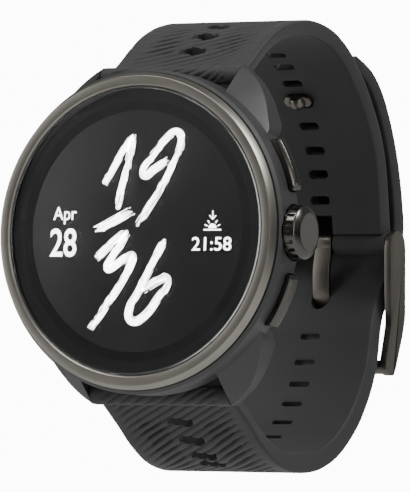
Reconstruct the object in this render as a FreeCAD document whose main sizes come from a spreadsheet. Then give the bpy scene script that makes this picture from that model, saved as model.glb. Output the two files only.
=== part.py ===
import FreeCAD, Part
import Sketcher
import math
import os
import re

# A round sports watch on a two-piece rubber strap, buckled into its loop.
# Frame: the origin is the centre of the flat sensor window on the case back.
# The dial looks along -Y, +X points to the crown (3 o'clock) and +Z to 12 o'clock.
# "Height" below means the distance from the case back towards the dial, so Y = -height.

Vector = FreeCAD.Vector
Rotation = FreeCAD.Rotation
Placement = FreeCAD.Placement

doc = FreeCAD.newDocument("running_watch")

# ---------------------------------------------------------------- driving dimensions

SIZES = [
    ("total_height", 11.4, "case back window to bezel front"),
    ("case_radius", 22.5, "round of the case side"),
    ("case_floor", 3.0, "height of the case's open back edge"),
    ("case_top", 9.9, "height of the shoulder under the bezel"),
    ("cavity_radius", 19.2, "hollow of the case"),
    ("ledge_radius", 17.9, "opening in the shelf that carries the glass"),
    ("ledge_height", 9.7, "height of that shelf"),
    ("glass_radius", 19.93, "cover glass"),
    ("glass_top", 11.3, "height of the cover glass face"),
    ("glass_thick", 1.3, "cover glass thickness"),
    ("panel_radius", 17.4, "display panel"),
    ("panel_thick", 0.95, "display panel thickness"),
    ("bezel_inner", 20.24, "inner edge of the bezel's flat"),
    ("bezel_outer", 21.44, "outer edge of the bezel's flat"),
    ("bezel_foot", 22.0, "largest radius of the bezel"),
    ("lug_gap", 22.3, "clear width between two lugs"),
    ("lug_reach", 23.6, "lug tip from the case centre"),
    ("lug_back", 0.2, "height of the lug's rear edge"),
    ("bar_height", 1.5, "height of the spring bars"),
    ("bar_reach", 21.9, "spring bars from the case centre"),
    ("bar_radius", 0.85, "spring bar tube"),
    ("bar_bore", 0.95, "bore of the strap for its spring bar"),
    ("tip_radius", 0.5, "spring bar tip"),
    ("tip_hole", 0.56, "hole in the lug for a spring bar tip"),
    ("hub_radius", 1.75, "rolled end of the strap round its spring bar"),
    ("control_height", 5.7, "height of the crown and the buttons"),
    ("control_travel", 0.4, "how far the crown and the buttons go in"),
    ("crown_radius", 3.7, "crown over its teeth"),
    ("crown_base", 21.8, "inner face of the crown"),
    ("crown_face", 24.5, "outer face of the crown"),
    ("crown_teeth", 18, "teeth round the crown"),
    ("stem_radius", 1.0, "crown stem"),
    ("button_angle", 24.5, "buttons above and below the crown, in degrees"),
    ("button_radius", 23.65, "outer face of a button from the case centre"),
    ("button_base", 21.25, "inner face of a button"),
    ("button_half", 3.85, "half the length of a button"),
    ("button_width", 2.2, "button across the case side"),
    ("pin_radius", 0.7, "button stem"),
    ("switch_face", 15.65, "switches face the stems at this radius"),
    ("back_radius", 20.2, "case back plate"),
    ("back_low", 2.0, "height of the plate's rear face"),
    ("window_radius", 10.0, "sensor window"),
    ("screw_reach", 12.3, "case back screws from the centre, along X and Z"),
    ("strap_half", 10.95, "half the strap's width at the lugs"),
    ("strap_half_end", 10.35, "half the strap's width at the buckle"),
    ("tail_half", 10.0, "half the width of the strap's free end"),
    ("slot_long", 3.6, "strap slot, across the strap"),
    ("slot_wide", 1.3, "strap slot, along the strap"),
    ("buckle_inner", 10.55, "inner face of a buckle arm"),
    ("buckle_outer", 11.55, "outer face of a buckle arm"),
    ("buckle_bar_back", 44.6, "buckle spring bar from the case back plane"),
    ("buckle_bar_up", 2.2, "buckle spring bar above the case centre"),
    ("tongue_half", 1.35, "half the tongue's width"),
]

dims = doc.addObject("Spreadsheet::Sheet", "dims")
for row, (alias, value, note) in enumerate(SIZES, start=1):
    dims.set(f"A{row}", alias)
    dims.set(f"B{row}", str(value))
    dims.setAlias(f"B{row}", alias)
    dims.set(f"C{row}", note)
doc.recompute()

ALIASES = {alias for alias, value, note in SIZES}
SUBPARTS = []


def size(alias):
    """A driving dimension as a plain number."""
    return float(getattr(dims, alias))


def bound(text):
    """The expression with each dimension's name turned into a sheet reference."""
    def cell(match):
        word = match.group(0)
        return "dims." + word if word in ALIASES else word
    return re.sub(r"[a-z][a-z_]+", cell, str(text))


def keep(item, label):
    """Name an object and list it as a sub-part of the watch."""
    item.Label = label
    SUBPARTS.append(item)
    return item


# ---------------------------------------------------------------- sketched bodies

def new_body(label):
    return keep(doc.addObject("PartDesign::Body", label), label)


def new_sketch(body, name, role, offset=0, turn=0.0):
    """A sketch on one of the body's own planes, moved along and turned about its normal."""
    sketch = body.newObject("Sketcher::SketchObject", name)
    plane = next(item for item in body.Origin.OriginFeatures if item.Role == role)
    sketch.AttachmentSupport = [(plane, "")]
    sketch.MapMode = "FlatFace"
    sketch.AttachmentOffset = Placement(Vector(), Rotation(Vector(0, 0, 1), turn))
    sketch.setExpression("AttachmentOffset.Base.z", bound(offset))
    return sketch


def outline(sketch, points):
    """A closed outline of straight edges; every corner is tied to the sheet."""
    count = len(points)
    first = sketch.GeometryCount
    ring = [Vector(math.cos(math.tau * k / count), math.sin(math.tau * k / count), 0) for k in range(count)]
    for k in range(count):
        sketch.addGeometry(Part.LineSegment(ring[k], ring[(k + 1) % count]), False)
    for k in range(count):
        sketch.addConstraint(Sketcher.Constraint("Coincident", first + k, 2, first + (k + 1) % count, 1))
    for k, (across, along) in enumerate(points):
        pin(sketch, "DistanceX", first + k, 1, ring[k].x, across)
        pin(sketch, "DistanceY", first + k, 1, ring[k].y, along)


def circle(sketch, across, along, radius):
    """A circle whose centre and radius are tied to the sheet."""
    index = sketch.addGeometry(Part.Circle(Vector(1, 1, 0), Vector(0, 0, 1), 1.0), False)
    pin(sketch, "DistanceX", index, 3, 1.0, across)
    pin(sketch, "DistanceY", index, 3, 1.0, along)
    ring = sketch.addConstraint(Sketcher.Constraint("Radius", index, 1.0))
    sketch.setExpression(f"Constraints[{ring}]", bound(radius))


def pin(sketch, kind, geometry, point, start, text):
    """Tie one coordinate of a point to an expression."""
    index = sketch.addConstraint(Sketcher.Constraint(kind, -1, 1, geometry, point, start))
    sketch.setExpression(f"Constraints[{index}]", bound(text))


def pad(body, sketch, length, name="pad"):
    feature = body.newObject("PartDesign::Pad", name)
    feature.Profile = sketch
    feature.setExpression("Length", bound(length))
    return feature


def pocket(body, sketch, length, name="pocket", forward=True, both=False):
    """A pocket along the sketch's normal (forward), against it, or both ways."""
    feature = body.newObject("PartDesign::Pocket", name)
    feature.Profile = sketch
    feature.Reversed = forward and not both
    feature.SideType = "Symmetric" if both else "One side"
    feature.setExpression("Length", bound(length))
    return feature


def drill(body, name, radius, length, start, direction):
    """A round hole from a start point along a direction."""
    hole = body.newObject("PartDesign::SubtractiveCylinder", name)
    hole.setExpression("Radius", bound(radius))
    hole.setExpression("Height", bound(length))
    hole.Placement = Placement(start, Rotation(Vector(0, 0, 1), direction))
    return hole


def turned(label, profile, about="height"):
    """A turned piece. Its profile is (radius, height), or (x, radius) about the X axis."""
    body = new_body(label)
    sketch = new_sketch(body, label + "_profile", "XY_Plane")
    if about == "height":
        outline(sketch, [(radius, f"-({height})") for radius, height in profile])
    else:
        outline(sketch, profile)
    spin = body.newObject("PartDesign::Revolution", label + "_turned")
    spin.Profile = sketch
    spin.ReferenceAxis = (sketch, ["V_Axis" if about == "height" else "H_Axis"])
    spin.Angle = 360
    return body


# ---------------------------------------------------------------- plain solids

LOOK_FORWARD = Rotation(Vector(1, 0, 0), 90)
ALONG_X = Rotation(Vector(0, 1, 0), 90)


def disc(label, radius, low, high, across=0.0, up=0.0):
    """A round plate between two heights."""
    item = doc.addObject("Part::Cylinder", label)
    item.setExpression("Radius", bound(radius))
    item.setExpression("Height", bound(f"({high}) - ({low})"))
    item.Placement = Placement(Vector(across, 0, up), LOOK_FORWARD)
    item.setExpression("Placement.Base.y", bound(f"-({low})"))
    return item


def block(label, wide, tall, low, high, across=0.0, up=0.0):
    """A box between two heights, centred at (across, up) in the dial's plane."""
    item = doc.addObject("Part::Box", label)
    item.Length = wide
    item.Height = tall
    item.setExpression("Width", bound(f"({high}) - ({low})"))
    item.Placement = Placement(Vector(across - wide / 2, 0, up - tall / 2), Rotation())
    item.setExpression("Placement.Base.y", bound(f"-({high})"))
    return item


def rod(label, radius, start, end, back="0", up=0.0):
    """A round rod along X, `back` being its Y place."""
    item = doc.addObject("Part::Cylinder", label)
    item.setExpression("Radius", bound(radius))
    item.setExpression("Height", bound(f"({end}) - ({start})"))
    item.Placement = Placement(Vector(0, 0, up), ALONG_X)
    item.setExpression("Placement.Base.x", bound(start))
    item.setExpression("Placement.Base.y", bound(back))
    return item


def cut(label, base, tool):
    item = doc.addObject("Part::Cut", label)
    item.Base = base
    item.Tool = tool
    return item


def fuse(label, pieces):
    item = doc.addObject("Part::MultiFuse", label)
    item.Shapes = pieces
    return item


def group(label, pieces):
    """Separate solids that share one node."""
    item = doc.addObject("Part::Compound", label)
    item.Links = pieces
    return item


def o_ring(label, ring, thick, place):
    """A seal ring about the X axis."""
    item = doc.addObject("Part::Torus", label)
    item.Radius1 = ring
    item.Radius2 = thick
    item.Placement = Placement(place, ALONG_X)
    return item


# ---------------------------------------------------------------- case

# One lug's outline in the dial's plane, from its inner flank round the tip to the case side.
LUG_OUTLINE = [("lug_gap / 2", 12), ("lug_gap / 2", "lug_reach"), (14.0, 22.4), (15.4, 21.1),
               (17.0, 18.6), (18.7, 14.0), (17.2, 11.0)]
LUG_CONE_TOP = 19.8             # the lugs' front faces lie on one cone: its radius at the case top
LUG_CONE_FALL = 1.243           # and how far it drops for each millimetre outwards
LUG_HEEL_START = (-3.1, 12.5)   # Y and reach where the lug's rear face leaves the case
LUG_HEEL_END = (-0.1, 19.6)     # and where it flattens out towards the tip
CORE_RADIUS = 20                # radius of the solid core that joins the lugs before hollowing


def make_case_body():
    body = new_body("case_body")
    core = new_sketch(body, "case_core", "XZ_Plane", "case_floor")
    circle(core, 0, 0, CORE_RADIUS)
    pad(body, core, "case_top - case_floor", "case_core_pad")

    lugs = new_sketch(body, "lug_outlines", "XZ_Plane", "lug_back")
    for side in (1, -1):
        for end in (1, -1):
            outline(lugs, [(f"{side} * ({x})", f"{end} * ({z})") for x, z in LUG_OUTLINE])
    pad(body, lugs, "case_top - lug_back", "lug_pad")

    heel = new_sketch(body, "lug_heel", "YZ_Plane")
    for end in (1, -1):
        outline(heel, [(LUG_HEEL_START[0], end * LUG_HEEL_START[1]), (LUG_HEEL_END[0], end * LUG_HEEL_END[1]),
                       (2, end * LUG_HEEL_END[1]), (2, end * 8), (LUG_HEEL_START[0], end * 8)])
    pocket(body, heel, 60, "lug_heel_cut", both=True)

    cone = new_sketch(body, "lug_cone", "XY_Plane")
    outline(cone, [(LUG_CONE_TOP, "-case_top"), (LUG_CONE_TOP, -14), (30, -14),
                   (30, f"{LUG_CONE_FALL} * (30 - {LUG_CONE_TOP}) - case_top")])
    shave = body.newObject("PartDesign::Groove", "lug_cone_cut")
    shave.Profile = cone
    shave.ReferenceAxis = (cone, ["V_Axis"])
    shave.Angle = 360

    # The round of the case, drawn in at the back so that the strap's rolled end clears it.
    side_profile = new_sketch(body, "case_side", "XY_Plane")
    wall = [(18.6, "case_floor"), (20.3, "case_floor"), (21.5, 3.7), ("case_radius - 0.2", 4.5),
            ("case_radius", 5.0), ("case_radius", "case_top - 0.45"), ("case_radius - 0.4", "case_top"),
            (18.6, "case_top")]
    outline(side_profile, [(radius, f"-({height})") for radius, height in wall])
    spin = body.newObject("PartDesign::Revolution", "case_side_turned")
    spin.Profile = side_profile
    spin.ReferenceAxis = (side_profile, ["V_Axis"])
    spin.Angle = 360

    hollow = new_sketch(body, "case_hollow", "XY_Plane")
    inside = [(0, 0), (20.35, 0), (20.35, "case_floor"), ("cavity_radius", "case_floor"),
              ("cavity_radius", 9.1), ("ledge_radius", 9.1), ("ledge_radius", "ledge_height"),
              ("glass_radius + 0.05", "ledge_height"), ("glass_radius + 0.05", 12), (0, 12)]
    outline(hollow, [(radius, f"-({height})") for radius, height in inside])
    groove = body.newObject("PartDesign::Groove", "case_hollow_cut")
    groove.Profile = hollow
    groove.ReferenceAxis = (hollow, ["V_Axis"])
    groove.Angle = 360

    bosses = new_sketch(body, "screw_bosses", "XZ_Plane", 3.8)
    for side in (1, -1):
        for end in (1, -1):
            circle(bosses, f"{side} * screw_reach", f"{end} * screw_reach", 1.9)
    pad(body, bosses, 2.6, "screw_boss_pad")
    threads = new_sketch(body, "screw_holes", "XZ_Plane", 3.7)
    for side in (1, -1):
        for end in (1, -1):
            circle(threads, f"{side} * screw_reach", f"{end} * screw_reach", 0.62)
    pocket(body, threads, 2.0, "screw_hole_cut")

    # Crown recess and bore, then a recess, a bore and a seal seat for each button.
    centre = -size("control_height")
    drill(body, "crown_recess", "crown_radius + 0.25", 5, Vector(21.35, centre, 0), Vector(1, 0, 0))
    drill(body, "crown_bore", 1.7, 5, Vector(18, centre, 0), Vector(1, 0, 0))
    for name, sign in (("upper", 1), ("lower", -1)):
        angle = sign * size("button_angle")
        outward = Vector(math.cos(math.radians(angle)), 0, math.sin(math.radians(angle)))
        seat = new_sketch(body, name + "_button_seat", "XZ_Plane",
                          "control_height - button_width / 2 - 0.12", turn=angle)
        outline(seat, [("button_base - control_travel - 0.05", "-button_half - 0.12"), (26, "-button_half - 0.12"),
                       (26, "button_half + 0.12"), ("button_base - control_travel - 0.05", "button_half + 0.12")])
        pocket(body, seat, "button_width + 0.24", name + "_button_seat_cut")
        drill(body, name + "_button_bore", "pin_radius + 0.06", 5, outward * 18 + Vector(0, centre, 0), outward)
        drill(body, name + "_button_seal_seat", 1.22, 1.6, outward * 18.4 + Vector(0, centre, 0), outward)

    for name, sign in (("upper", 1), ("lower", -1)):
        start = Vector(-12.5, -size("bar_height"), sign * size("bar_reach"))
        drill(body, name + "_bar_holes", "tip_hole", 25, start, Vector(1, 0, 0))
    return body


def make_front():
    turned("bezel", [("glass_radius + 0.05", "case_top"), (21.65, "case_top"), (21.65, "case_top + 0.22"),
                     ("bezel_foot", "case_top + 0.34"), ("bezel_outer + 0.06", "total_height - 0.07"),
                     ("bezel_outer", "total_height"), ("bezel_inner", "total_height"),
                     ("glass_radius + 0.05", "total_height - 0.28")])
    turned("display_glass", [(0, "glass_top - glass_thick"), ("glass_radius", "glass_top - glass_thick"),
                             ("glass_radius", "glass_top - 0.2"), ("glass_radius - 0.2", "glass_top"),
                             (0, "glass_top")])
    turned("glass_gasket", [("ledge_radius + 0.15", "ledge_height"), ("glass_radius - 0.25", "ledge_height"),
                            ("glass_radius - 0.25", "glass_top - glass_thick"),
                            ("ledge_radius + 0.15", "glass_top - glass_thick")])
    keep(disc("panel_disc", "panel_radius", "glass_top - glass_thick - panel_thick", "glass_top - glass_thick - 0.02"),
         "display_panel")
    keep(block("flex_strip", 6.0, 0.15, 7.1, "glass_top - glass_thick - panel_thick", up=-12.6), "display_flex")
    band = cut("antenna_band", disc("antenna_outer", 19.0, 8.1, 8.9), disc("antenna_inner", 18.0, 8.0, 9.0))
    keep(cut("antenna_gap", band, block("antenna_slit", 3.0, 4.0, 8.0, 9.0, up=-18.5)), "gps_antenna")


def make_inside():
    turned("inner_chassis", [(0, 5.7), (13.6, 5.7), (13.6, 3.85), (14.4, 3.85), (14.4, 8.9), (13.6, 8.9),
                             (13.6, 6.2), (0, 6.2)])
    keep(disc("board_disc", 13.4, 6.2, 7.1), "main_board")
    chips = [("processor", 6.0, 6.0, -5.5, 3.5, 1.0), ("memory", 4.0, 5.0, 1.2, 5.2, 0.8),
             ("power_chip", 3.2, 3.2, -8.2, -4.5, 0.7), ("motion_sensor", 2.5, 3.0, -2.5, -5.5, 0.8)]
    chip_blocks = [block(name, wide, tall, 7.1, 7.1 + high, across, up)
                   for name, wide, tall, across, up, high in chips]
    keep(group("chip_set", chip_blocks), "board_chips")
    keep(block("radio_can", 7.0, 9.0, 7.1, 8.3, across=7.6, up=-0.5), "radio_shield")
    keep(block("cell", 14.0, 16.4, 3.3, 5.5, across=-3.6), "battery")
    keep(block("cell_pad", 12.0, 15.0, 5.5, 5.7, across=-3.6), "battery_pad")
    keep(disc("motor_can", 3.8, 3.3, 5.6, across=8.1, up=-3.6), "vibration_motor")
    bent = cut("control_strip", disc("strip_outer", 14.72, 4.6, 6.8), disc("strip_inner", 14.57, 4.5, 6.9))
    keep(cut("control_strip_arc", bent, block("strip_cutter", 32.0, 32.0, 4.4, 7.0, across=-4.0)), "control_flex")


def make_back():
    plate = turned("case_back", [("window_radius - 1.0", 1.2), ("window_radius + 0.05", 1.2),
                                 ("window_radius + 0.05", 0.35), (13.0, 0.35), (14.6, 1.5), (16.5, "back_low"),
                                 ("back_radius - 0.4", "back_low"), ("back_radius", "back_low + 0.4"),
                                 ("back_radius", "case_floor"), (18.3, "case_floor"), (18.3, 3.7),
                                 (15.6, 3.7), (15.6, "case_floor"), ("window_radius - 1.0", "case_floor")])
    holes = new_sketch(plate, "screw_clearance", "XZ_Plane", 0)
    heads = new_sketch(plate, "screw_seats", "XZ_Plane", 0)
    for side in (1, -1):
        for end in (1, -1):
            circle(holes, f"{side} * screw_reach", f"{end} * screw_reach", 0.72)
            circle(heads, f"{side} * screw_reach", f"{end} * screw_reach", 1.25)
    pocket(plate, holes, 5, "screw_clearance_cut")
    pocket(plate, heads, 2.6, "screw_seat_cut")
    port = new_sketch(plate, "charging_port", "XZ_Plane", 0)
    outline(port, [(-4.6, -18.6), (4.6, -18.6), (4.6, -15.4), (-4.6, -15.4)])
    pocket(plate, port, 2.5, "charging_port_cut")
    pins = new_sketch(plate, "contact_holes", "XZ_Plane", 0)
    for across in (-3.0, -1.0, 1.0, 3.0):
        circle(pins, across, -17.0, 0.56)
    circle(pins, -5.0, 16.8, 0.4)
    pocket(plate, pins, 5, "contact_hole_cut")

    turned("sensor_window", [(0, 0), ("window_radius - 0.3", 0), ("window_radius", 0.3),
                             ("window_radius", 1.18), (0, 1.18)])
    keep(disc("sensor_disc", 8.6, 1.9, 2.6), "sensor_board")
    lights = [block(f"light_{k}", 1.2, 1.2, 1.25, 1.9, 4.2 * math.cos(k * math.pi / 3), 4.2 * math.sin(k * math.pi / 3))
              for k in range(6)]
    keep(group("light_set", lights), "sensor_lights")
    rims = doc.addObject("Part::Torus", "back_seal")
    rims.Radius1 = 18.75
    rims.Radius2 = 0.36
    rims.Placement = Placement(Vector(0, -3.4, 0), LOOK_FORWARD)
    keep(rims, "case_back_gasket")
    contacts = [disc(f"contact_{k}", 0.5, 2.15, 4.2, across, -17.0) for k, across in enumerate((-3.0, -1.0, 1.0, 3.0))]
    keep(group("contact_set", contacts), "charging_contacts")
    keep(disc("vent_film", 1.2, 3.7, 3.85, -5.0, 16.8), "vent_membrane")
    screws = []
    for side in (1, -1):
        for end in (1, -1):
            tag = f"{'right' if side > 0 else 'left'}_{'top' if end > 0 else 'bottom'}"
            place = (side * size("screw_reach"), end * size("screw_reach"))
            head = disc(f"head_{tag}", 1.15, 2.05, 2.6, *place)
            shank = disc(f"shank_{tag}", 0.6, 2.6, 5.5, *place)
            key = doc.addObject("Part::Prism", f"key_{tag}")
            key.Polygon = 6
            key.Circumradius = 0.5
            key.Height = 0.35
            key.Placement = Placement(Vector(place[0], -2.0, place[1]), LOOK_FORWARD)
            screws.append(cut(f"screw_{tag}", fuse(f"blank_{tag}", [head, shank]), key))
    keep(group("screw_set", screws), "case_back_screws")


# ---------------------------------------------------------------- crown

def make_crown():
    level = Placement(Vector(0, -size("control_height"), 0), Rotation())
    knob = turned("crown_knob", [("crown_base", "stem_radius"), ("crown_base", "crown_radius - 0.35"),
                                 ("crown_base + 0.3", "crown_radius"), ("crown_face - 0.55", "crown_radius"),
                                 ("crown_face - 0.12", "crown_radius - 0.75"), ("crown_face", "crown_radius - 1.1"),
                                 ("crown_face", 0), ("crown_base + 1.0", 0), ("crown_base + 1.0", "stem_radius")],
                  about="x")
    nick = new_sketch(knob, "tooth_gap", "YZ_Plane", "crown_base + 0.35")
    outline(nick, [("crown_radius - 0.3", -0.12), ("crown_radius - 0.3", 0.12),
                   ("crown_radius + 0.2", 0.3), ("crown_radius + 0.2", -0.3)])
    gap = pocket(knob, nick, "crown_face - crown_base - 1.15", "tooth_gap_cut")
    ring = knob.newObject("PartDesign::PolarPattern", "teeth")
    ring.Originals = [gap]
    spindle = next(item for item in knob.Origin.OriginFeatures if item.Role == "X_Axis")
    ring.Axis = (spindle, [""])
    ring.Angle = 360
    ring.setExpression("Occurrences", bound("crown_teeth"))
    knob.Tip = ring
    knob.Placement = level

    stem = turned("crown_stem", [(16.6, 0), (16.6, "stem_radius"), (18.2, "stem_radius"), (18.2, 0.75),
                                 (18.5, 0.75), (18.5, "stem_radius"), ("crown_base + 0.95", "stem_radius"),
                                 ("crown_base + 0.95", 0)], about="x")
    stem.Placement = level
    clip = turned("crown_clip", [(18.23, 0.77), (18.23, 1.65), (18.47, 1.65), (18.47, 0.77)], about="x")
    clip.Placement = level
    bush = turned("crown_bush", [(18.7, "stem_radius + 0.06"), (18.7, 1.7), (21.3, 1.7), (21.3, 1.48),
                                 (20.5, 1.48), (20.5, "stem_radius + 0.06")], about="x")
    bush.Placement = level
    wheel = turned("crown_encoder_wheel", [(17.45, "stem_radius"), (17.45, 1.9), (17.95, 1.9),
                                           (17.95, "stem_radius")], about="x")
    wheel.Placement = level
    cup = turned("crown_plunger", [(16.1, 0), (16.1, 1.5), (17.3, 1.5), (17.3, "stem_radius + 0.07"),
                                   (16.45, "stem_radius + 0.07"), (16.45, 0)], about="x")
    cup.Placement = level
    centre = -size("control_height")
    keep(o_ring("crown_seal", 1.26, 0.2, Vector(20.9, centre, 0)), "crown_o_ring")
    keep(block("crown_dome", 0.9, 2.6, 4.7, 6.7, across=15.2), "crown_switch")
    keep(block("crown_reader", 3.3, 1.0, 5.0, 6.4, across=16.4, up=2.75), "crown_sensor")


# ---------------------------------------------------------------- buttons

def make_button(name, sign):
    """A curved bar on a short stem, built pointing along +X and then turned into place."""
    turn = Placement(Vector(), Rotation(Vector(0, 1, 0), -sign * size("button_angle")))
    centre = -size("control_height")
    low = "control_height - button_width / 2"
    high = "control_height + button_width / 2"
    start = size("button_base")
    blank = block(name + "_blank", 4.0, 2 * size("button_half"), low, high, across=start + 2.0)
    round_face = disc(name + "_round", "button_radius", low, high)
    bar = doc.addObject("Part::Common", name + "_bar")
    bar.Base = blank
    bar.Tool = round_face
    shank = rod(name + "_shank", "pin_radius", "switch_face + control_travel + 0.05", "button_base + 0.6",
                "-control_height")
    cap = keep(fuse(name + "_cap_body", [bar, shank]), name + "_button_cap")
    seal = keep(o_ring(name + "_seal", 0.97, 0.22, Vector(19.65, centre, 0)), name + "_button_o_ring")
    outer = rod(name + "_clip_outer", 1.35, 18.35, 18.6, "-control_height")
    inner = rod(name + "_clip_inner", "pin_radius", 18.3, 18.7, "-control_height")
    clip = keep(cut(name + "_clip", outer, inner), name + "_button_clip")
    dome = keep(block(name + "_dome", 0.9, 2.6, 4.7, 6.7, across=size("switch_face") - 0.45),
                name + "_button_switch")
    for item in (cap, clip):
        item.Placement = turn
    seal.Placement = turn.multiply(seal.Placement)
    dome.Placement = turn.multiply(Placement(Vector(size("switch_face") - 0.9, -6.7, -1.3), Rotation()))
    dome.setExpression("Placement.Base.y", None)


# ---------------------------------------------------------------- strap

# Each strap line is the strap's inner face seen from the side: back, up and the thickness there.
UPPER_LINE = [(-0.7, 20.8, 2.0), (2.5, 23.0, 2.0), (5.7, 25.5, 2.0), (9.2, 27.6, 2.1), (15.0, 29.2, 2.4),
              (21.5, 29.6, 2.3), (27.6, 28.1, 2.2), (32.8, 24.5, 2.2), (37.4, 19.7, 2.1), (40.2, 15.4, 2.1),
              (41.7, 11.0, 2.1), (42.5, 6.6, 2.2), (43.1, 3.4, 2.2)]
LOWER_LINE = [(-0.7, -20.8, 2.0), (2.4, -22.7, 2.1), (5.9, -24.9, 2.2), (9.6, -27.2, 2.4), (14.2, -29.0, 2.6),
              (20.6, -29.4, 2.7), (26.7, -28.1, 2.7), (32.0, -25.1, 2.6), (36.7, -20.0, 2.5), (39.5, -14.2, 2.4),
              (41.2, -9.6, 2.3), (43.3, -6.0, 2.2), (45.6, -2.4, 2.1), (47.2, 1.0, 2.1), (48.0, 4.6, 2.1)]
TAIL_LINE = [(48.02, 4.68, 2.1), (47.6, 7.6, 2.0), (46.7, 11.4, 1.9), (45.2, 15.6, 1.8), (43.1, 19.6, 1.8),
             (40.6, 23.0, 1.8), (38.0, 25.2, 1.7), (35.4, 26.5, 1.5), (33.4, 27.7, 0.9)]
UPPER_SLOTS = [(27.45, 28.1), (30.2, 26.6), (32.75, 24.55), (34.9, 22.4), (38.15, 18.7), (40.2, 15.4), (41.35, 12.0),
               (42.2, 8.25)]
PEG_SLOT = 3                    # the slot that the strap's peg is pushed through
PEG_SLOT_SHIFT = 0.25           # that slot is stretched towards the buckle, where the peg leaves it
LOWER_SLOTS = [(40.7, -11.4), (38.9, -15.4), (37.3, -18.7), (35.3, -21.65), (32.6, -24.5), (29.6, -26.7)]
TONGUE_SLOT = (43.3, -6.1)      # where the buckle's tongue goes through the lower strap
SPRING_WINDOW = (4.0, 8.6)      # window in the rolled end for the quick-release knob, along X


def side_curve(line, outward):
    """The inner and outer face of a strap as smooth curves in the side view."""
    inner_points = [Vector(0, back, up) for back, up, thick in line]
    inner = Part.BSplineCurve()
    inner.interpolate(inner_points)
    outer_points = []
    for point, (back, up, thick) in zip(inner_points, line):
        along = inner.tangent(inner.parameter(point))[0]
        outer_points.append(point + Vector(0, -along.z, along.y) * outward * thick)
    outer = Part.BSplineCurve()
    outer.interpolate(outer_points)
    return inner, outer


def strap_band(line, outward, half):
    """The strap as one closed band of even width."""
    inner, outer = side_curve(line, outward)
    edges = [inner.toShape(), Part.makeLine(inner.EndPoint, outer.EndPoint), outer.toShape(),
             Part.makeLine(outer.StartPoint, inner.StartPoint)]
    face = Part.Face(Part.Wire(Part.__sortEdges__(edges)))
    band = face.extrude(Vector(2 * half, 0, 0))
    band.translate(Vector(-half, 0, 0))
    return band


def side_slope(near_back, near_half, far_back, far_half):
    """Two wedges that narrow a strap evenly between two places along Y."""
    wedges = []
    for side in (1, -1):
        corners = [(near_half, near_back), (far_half, far_back), (far_half, 70), (30, 70), (30, near_back)]
        ring = [Vector(side * across, back, -40) for across, back in corners]
        face = Part.Face(Part.makePolygon(ring + ring[:1]))
        wedges.append(face.extrude(Vector(0, 0, 80)))
    return wedges


def normal_at(line, outward, place):
    """The outward direction of a strap near a place on its inner face."""
    inner, outer = side_curve(line, outward)
    along = inner.tangent(inner.parameter(Vector(0, place[0], place[1])))[0]
    return Vector(0, -along.z, along.y) * outward


def strap_frame(line, outward, place):
    """A local frame on a strap: X across it, Z outward and Y along it."""
    up = normal_at(line, outward, place)
    return Placement(Vector(0, place[0], place[1]), Rotation(Vector(1, 0, 0), up.cross(Vector(1, 0, 0)), up, "XZY"))


def through_slot(line, outward, place, long, wide, shift=0.0):
    """A round-ended cutter square to the strap, shifted along it from a place on its inner face."""
    straight = long - wide
    core = Part.makeBox(straight, wide, 8, Vector(-straight / 2, shift - wide / 2, -3))
    ends = [Part.makeCylinder(wide / 2, 8, Vector(side * straight / 2, shift, -3)) for side in (1, -1)]
    cutter = core.fuse(ends)
    cutter.Placement = strap_frame(line, outward, place)
    return cutter


def bar_hub(back, up, radius, half):
    return Part.makeCylinder(radius, 2 * half, Vector(-half, back, up), Vector(1, 0, 0))


def strap_feature(label, shape):
    """Store a finished strap shape as a sub-part."""
    item = doc.addObject("Part::Feature", label)
    item.Shape = shape.removeSplitter()
    item.Placement = Placement()
    return keep(item, label)


def knob_window(sign):
    """The cut-out in a rolled strap end that the quick-release knob moves in."""
    low, high = SPRING_WINDOW
    box = Part.makeBox(high - low, 6, 2.0, Vector(low, 0, -1.0))
    box.Placement = Placement(Vector(0, -size("bar_height"), sign * size("bar_reach")),
                              Rotation(Vector(1, 0, 0), -sign * 30)).multiply(box.Placement)
    return box


def make_upper_strap():
    half = size("strap_half")
    band = strap_band(UPPER_LINE, 1, half)
    hub = bar_hub(-size("bar_height"), size("bar_reach"), size("hub_radius"), half)
    end_place = (size("buckle_bar_back"), size("buckle_bar_up"))
    end_hub = bar_hub(*end_place, 1.6, half)
    shape = band.fuse([hub, end_hub])
    cutters = side_slope(4, half, 40, size("strap_half_end"))
    cutters.append(bar_hub(-size("bar_height"), size("bar_reach"), size("bar_bore"), half + 1))
    cutters.append(bar_hub(*end_place, 0.82, half + 1))
    cutters.append(Part.makeBox(3.6, 6.5, 6.2, Vector(-1.8, 41.5, 0.0)))
    cutters.append(knob_window(1))
    for k, place in enumerate(UPPER_SLOTS):
        if k == PEG_SLOT:
            cutters.append(through_slot(UPPER_LINE, 1, place, 4.8, 2.7, shift=PEG_SLOT_SHIFT))
        else:
            cutters.append(through_slot(UPPER_LINE, 1, place, size("slot_long"), size("slot_wide")))
    strap_feature("upper_strap", shape.cut(cutters))


def make_lower_strap():
    half = size("strap_half")
    band = strap_band(LOWER_LINE, -1, half)
    hub = bar_hub(-size("bar_height"), -size("bar_reach"), size("hub_radius"), half)
    shape = band.fuse([hub])
    cutters = side_slope(30, half, 42, size("tail_half"))
    cutters.append(bar_hub(-size("bar_height"), -size("bar_reach"), size("bar_bore"), half + 1))
    cutters.append(knob_window(-1))
    cutters.append(through_slot(LOWER_LINE, -1, TONGUE_SLOT, 4.4, 4.3))
    for place in LOWER_SLOTS:
        cutters.append(through_slot(LOWER_LINE, -1, place, size("slot_long"), size("slot_wide")))
    strap_feature("lower_strap", shape.cut(cutters))


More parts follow.
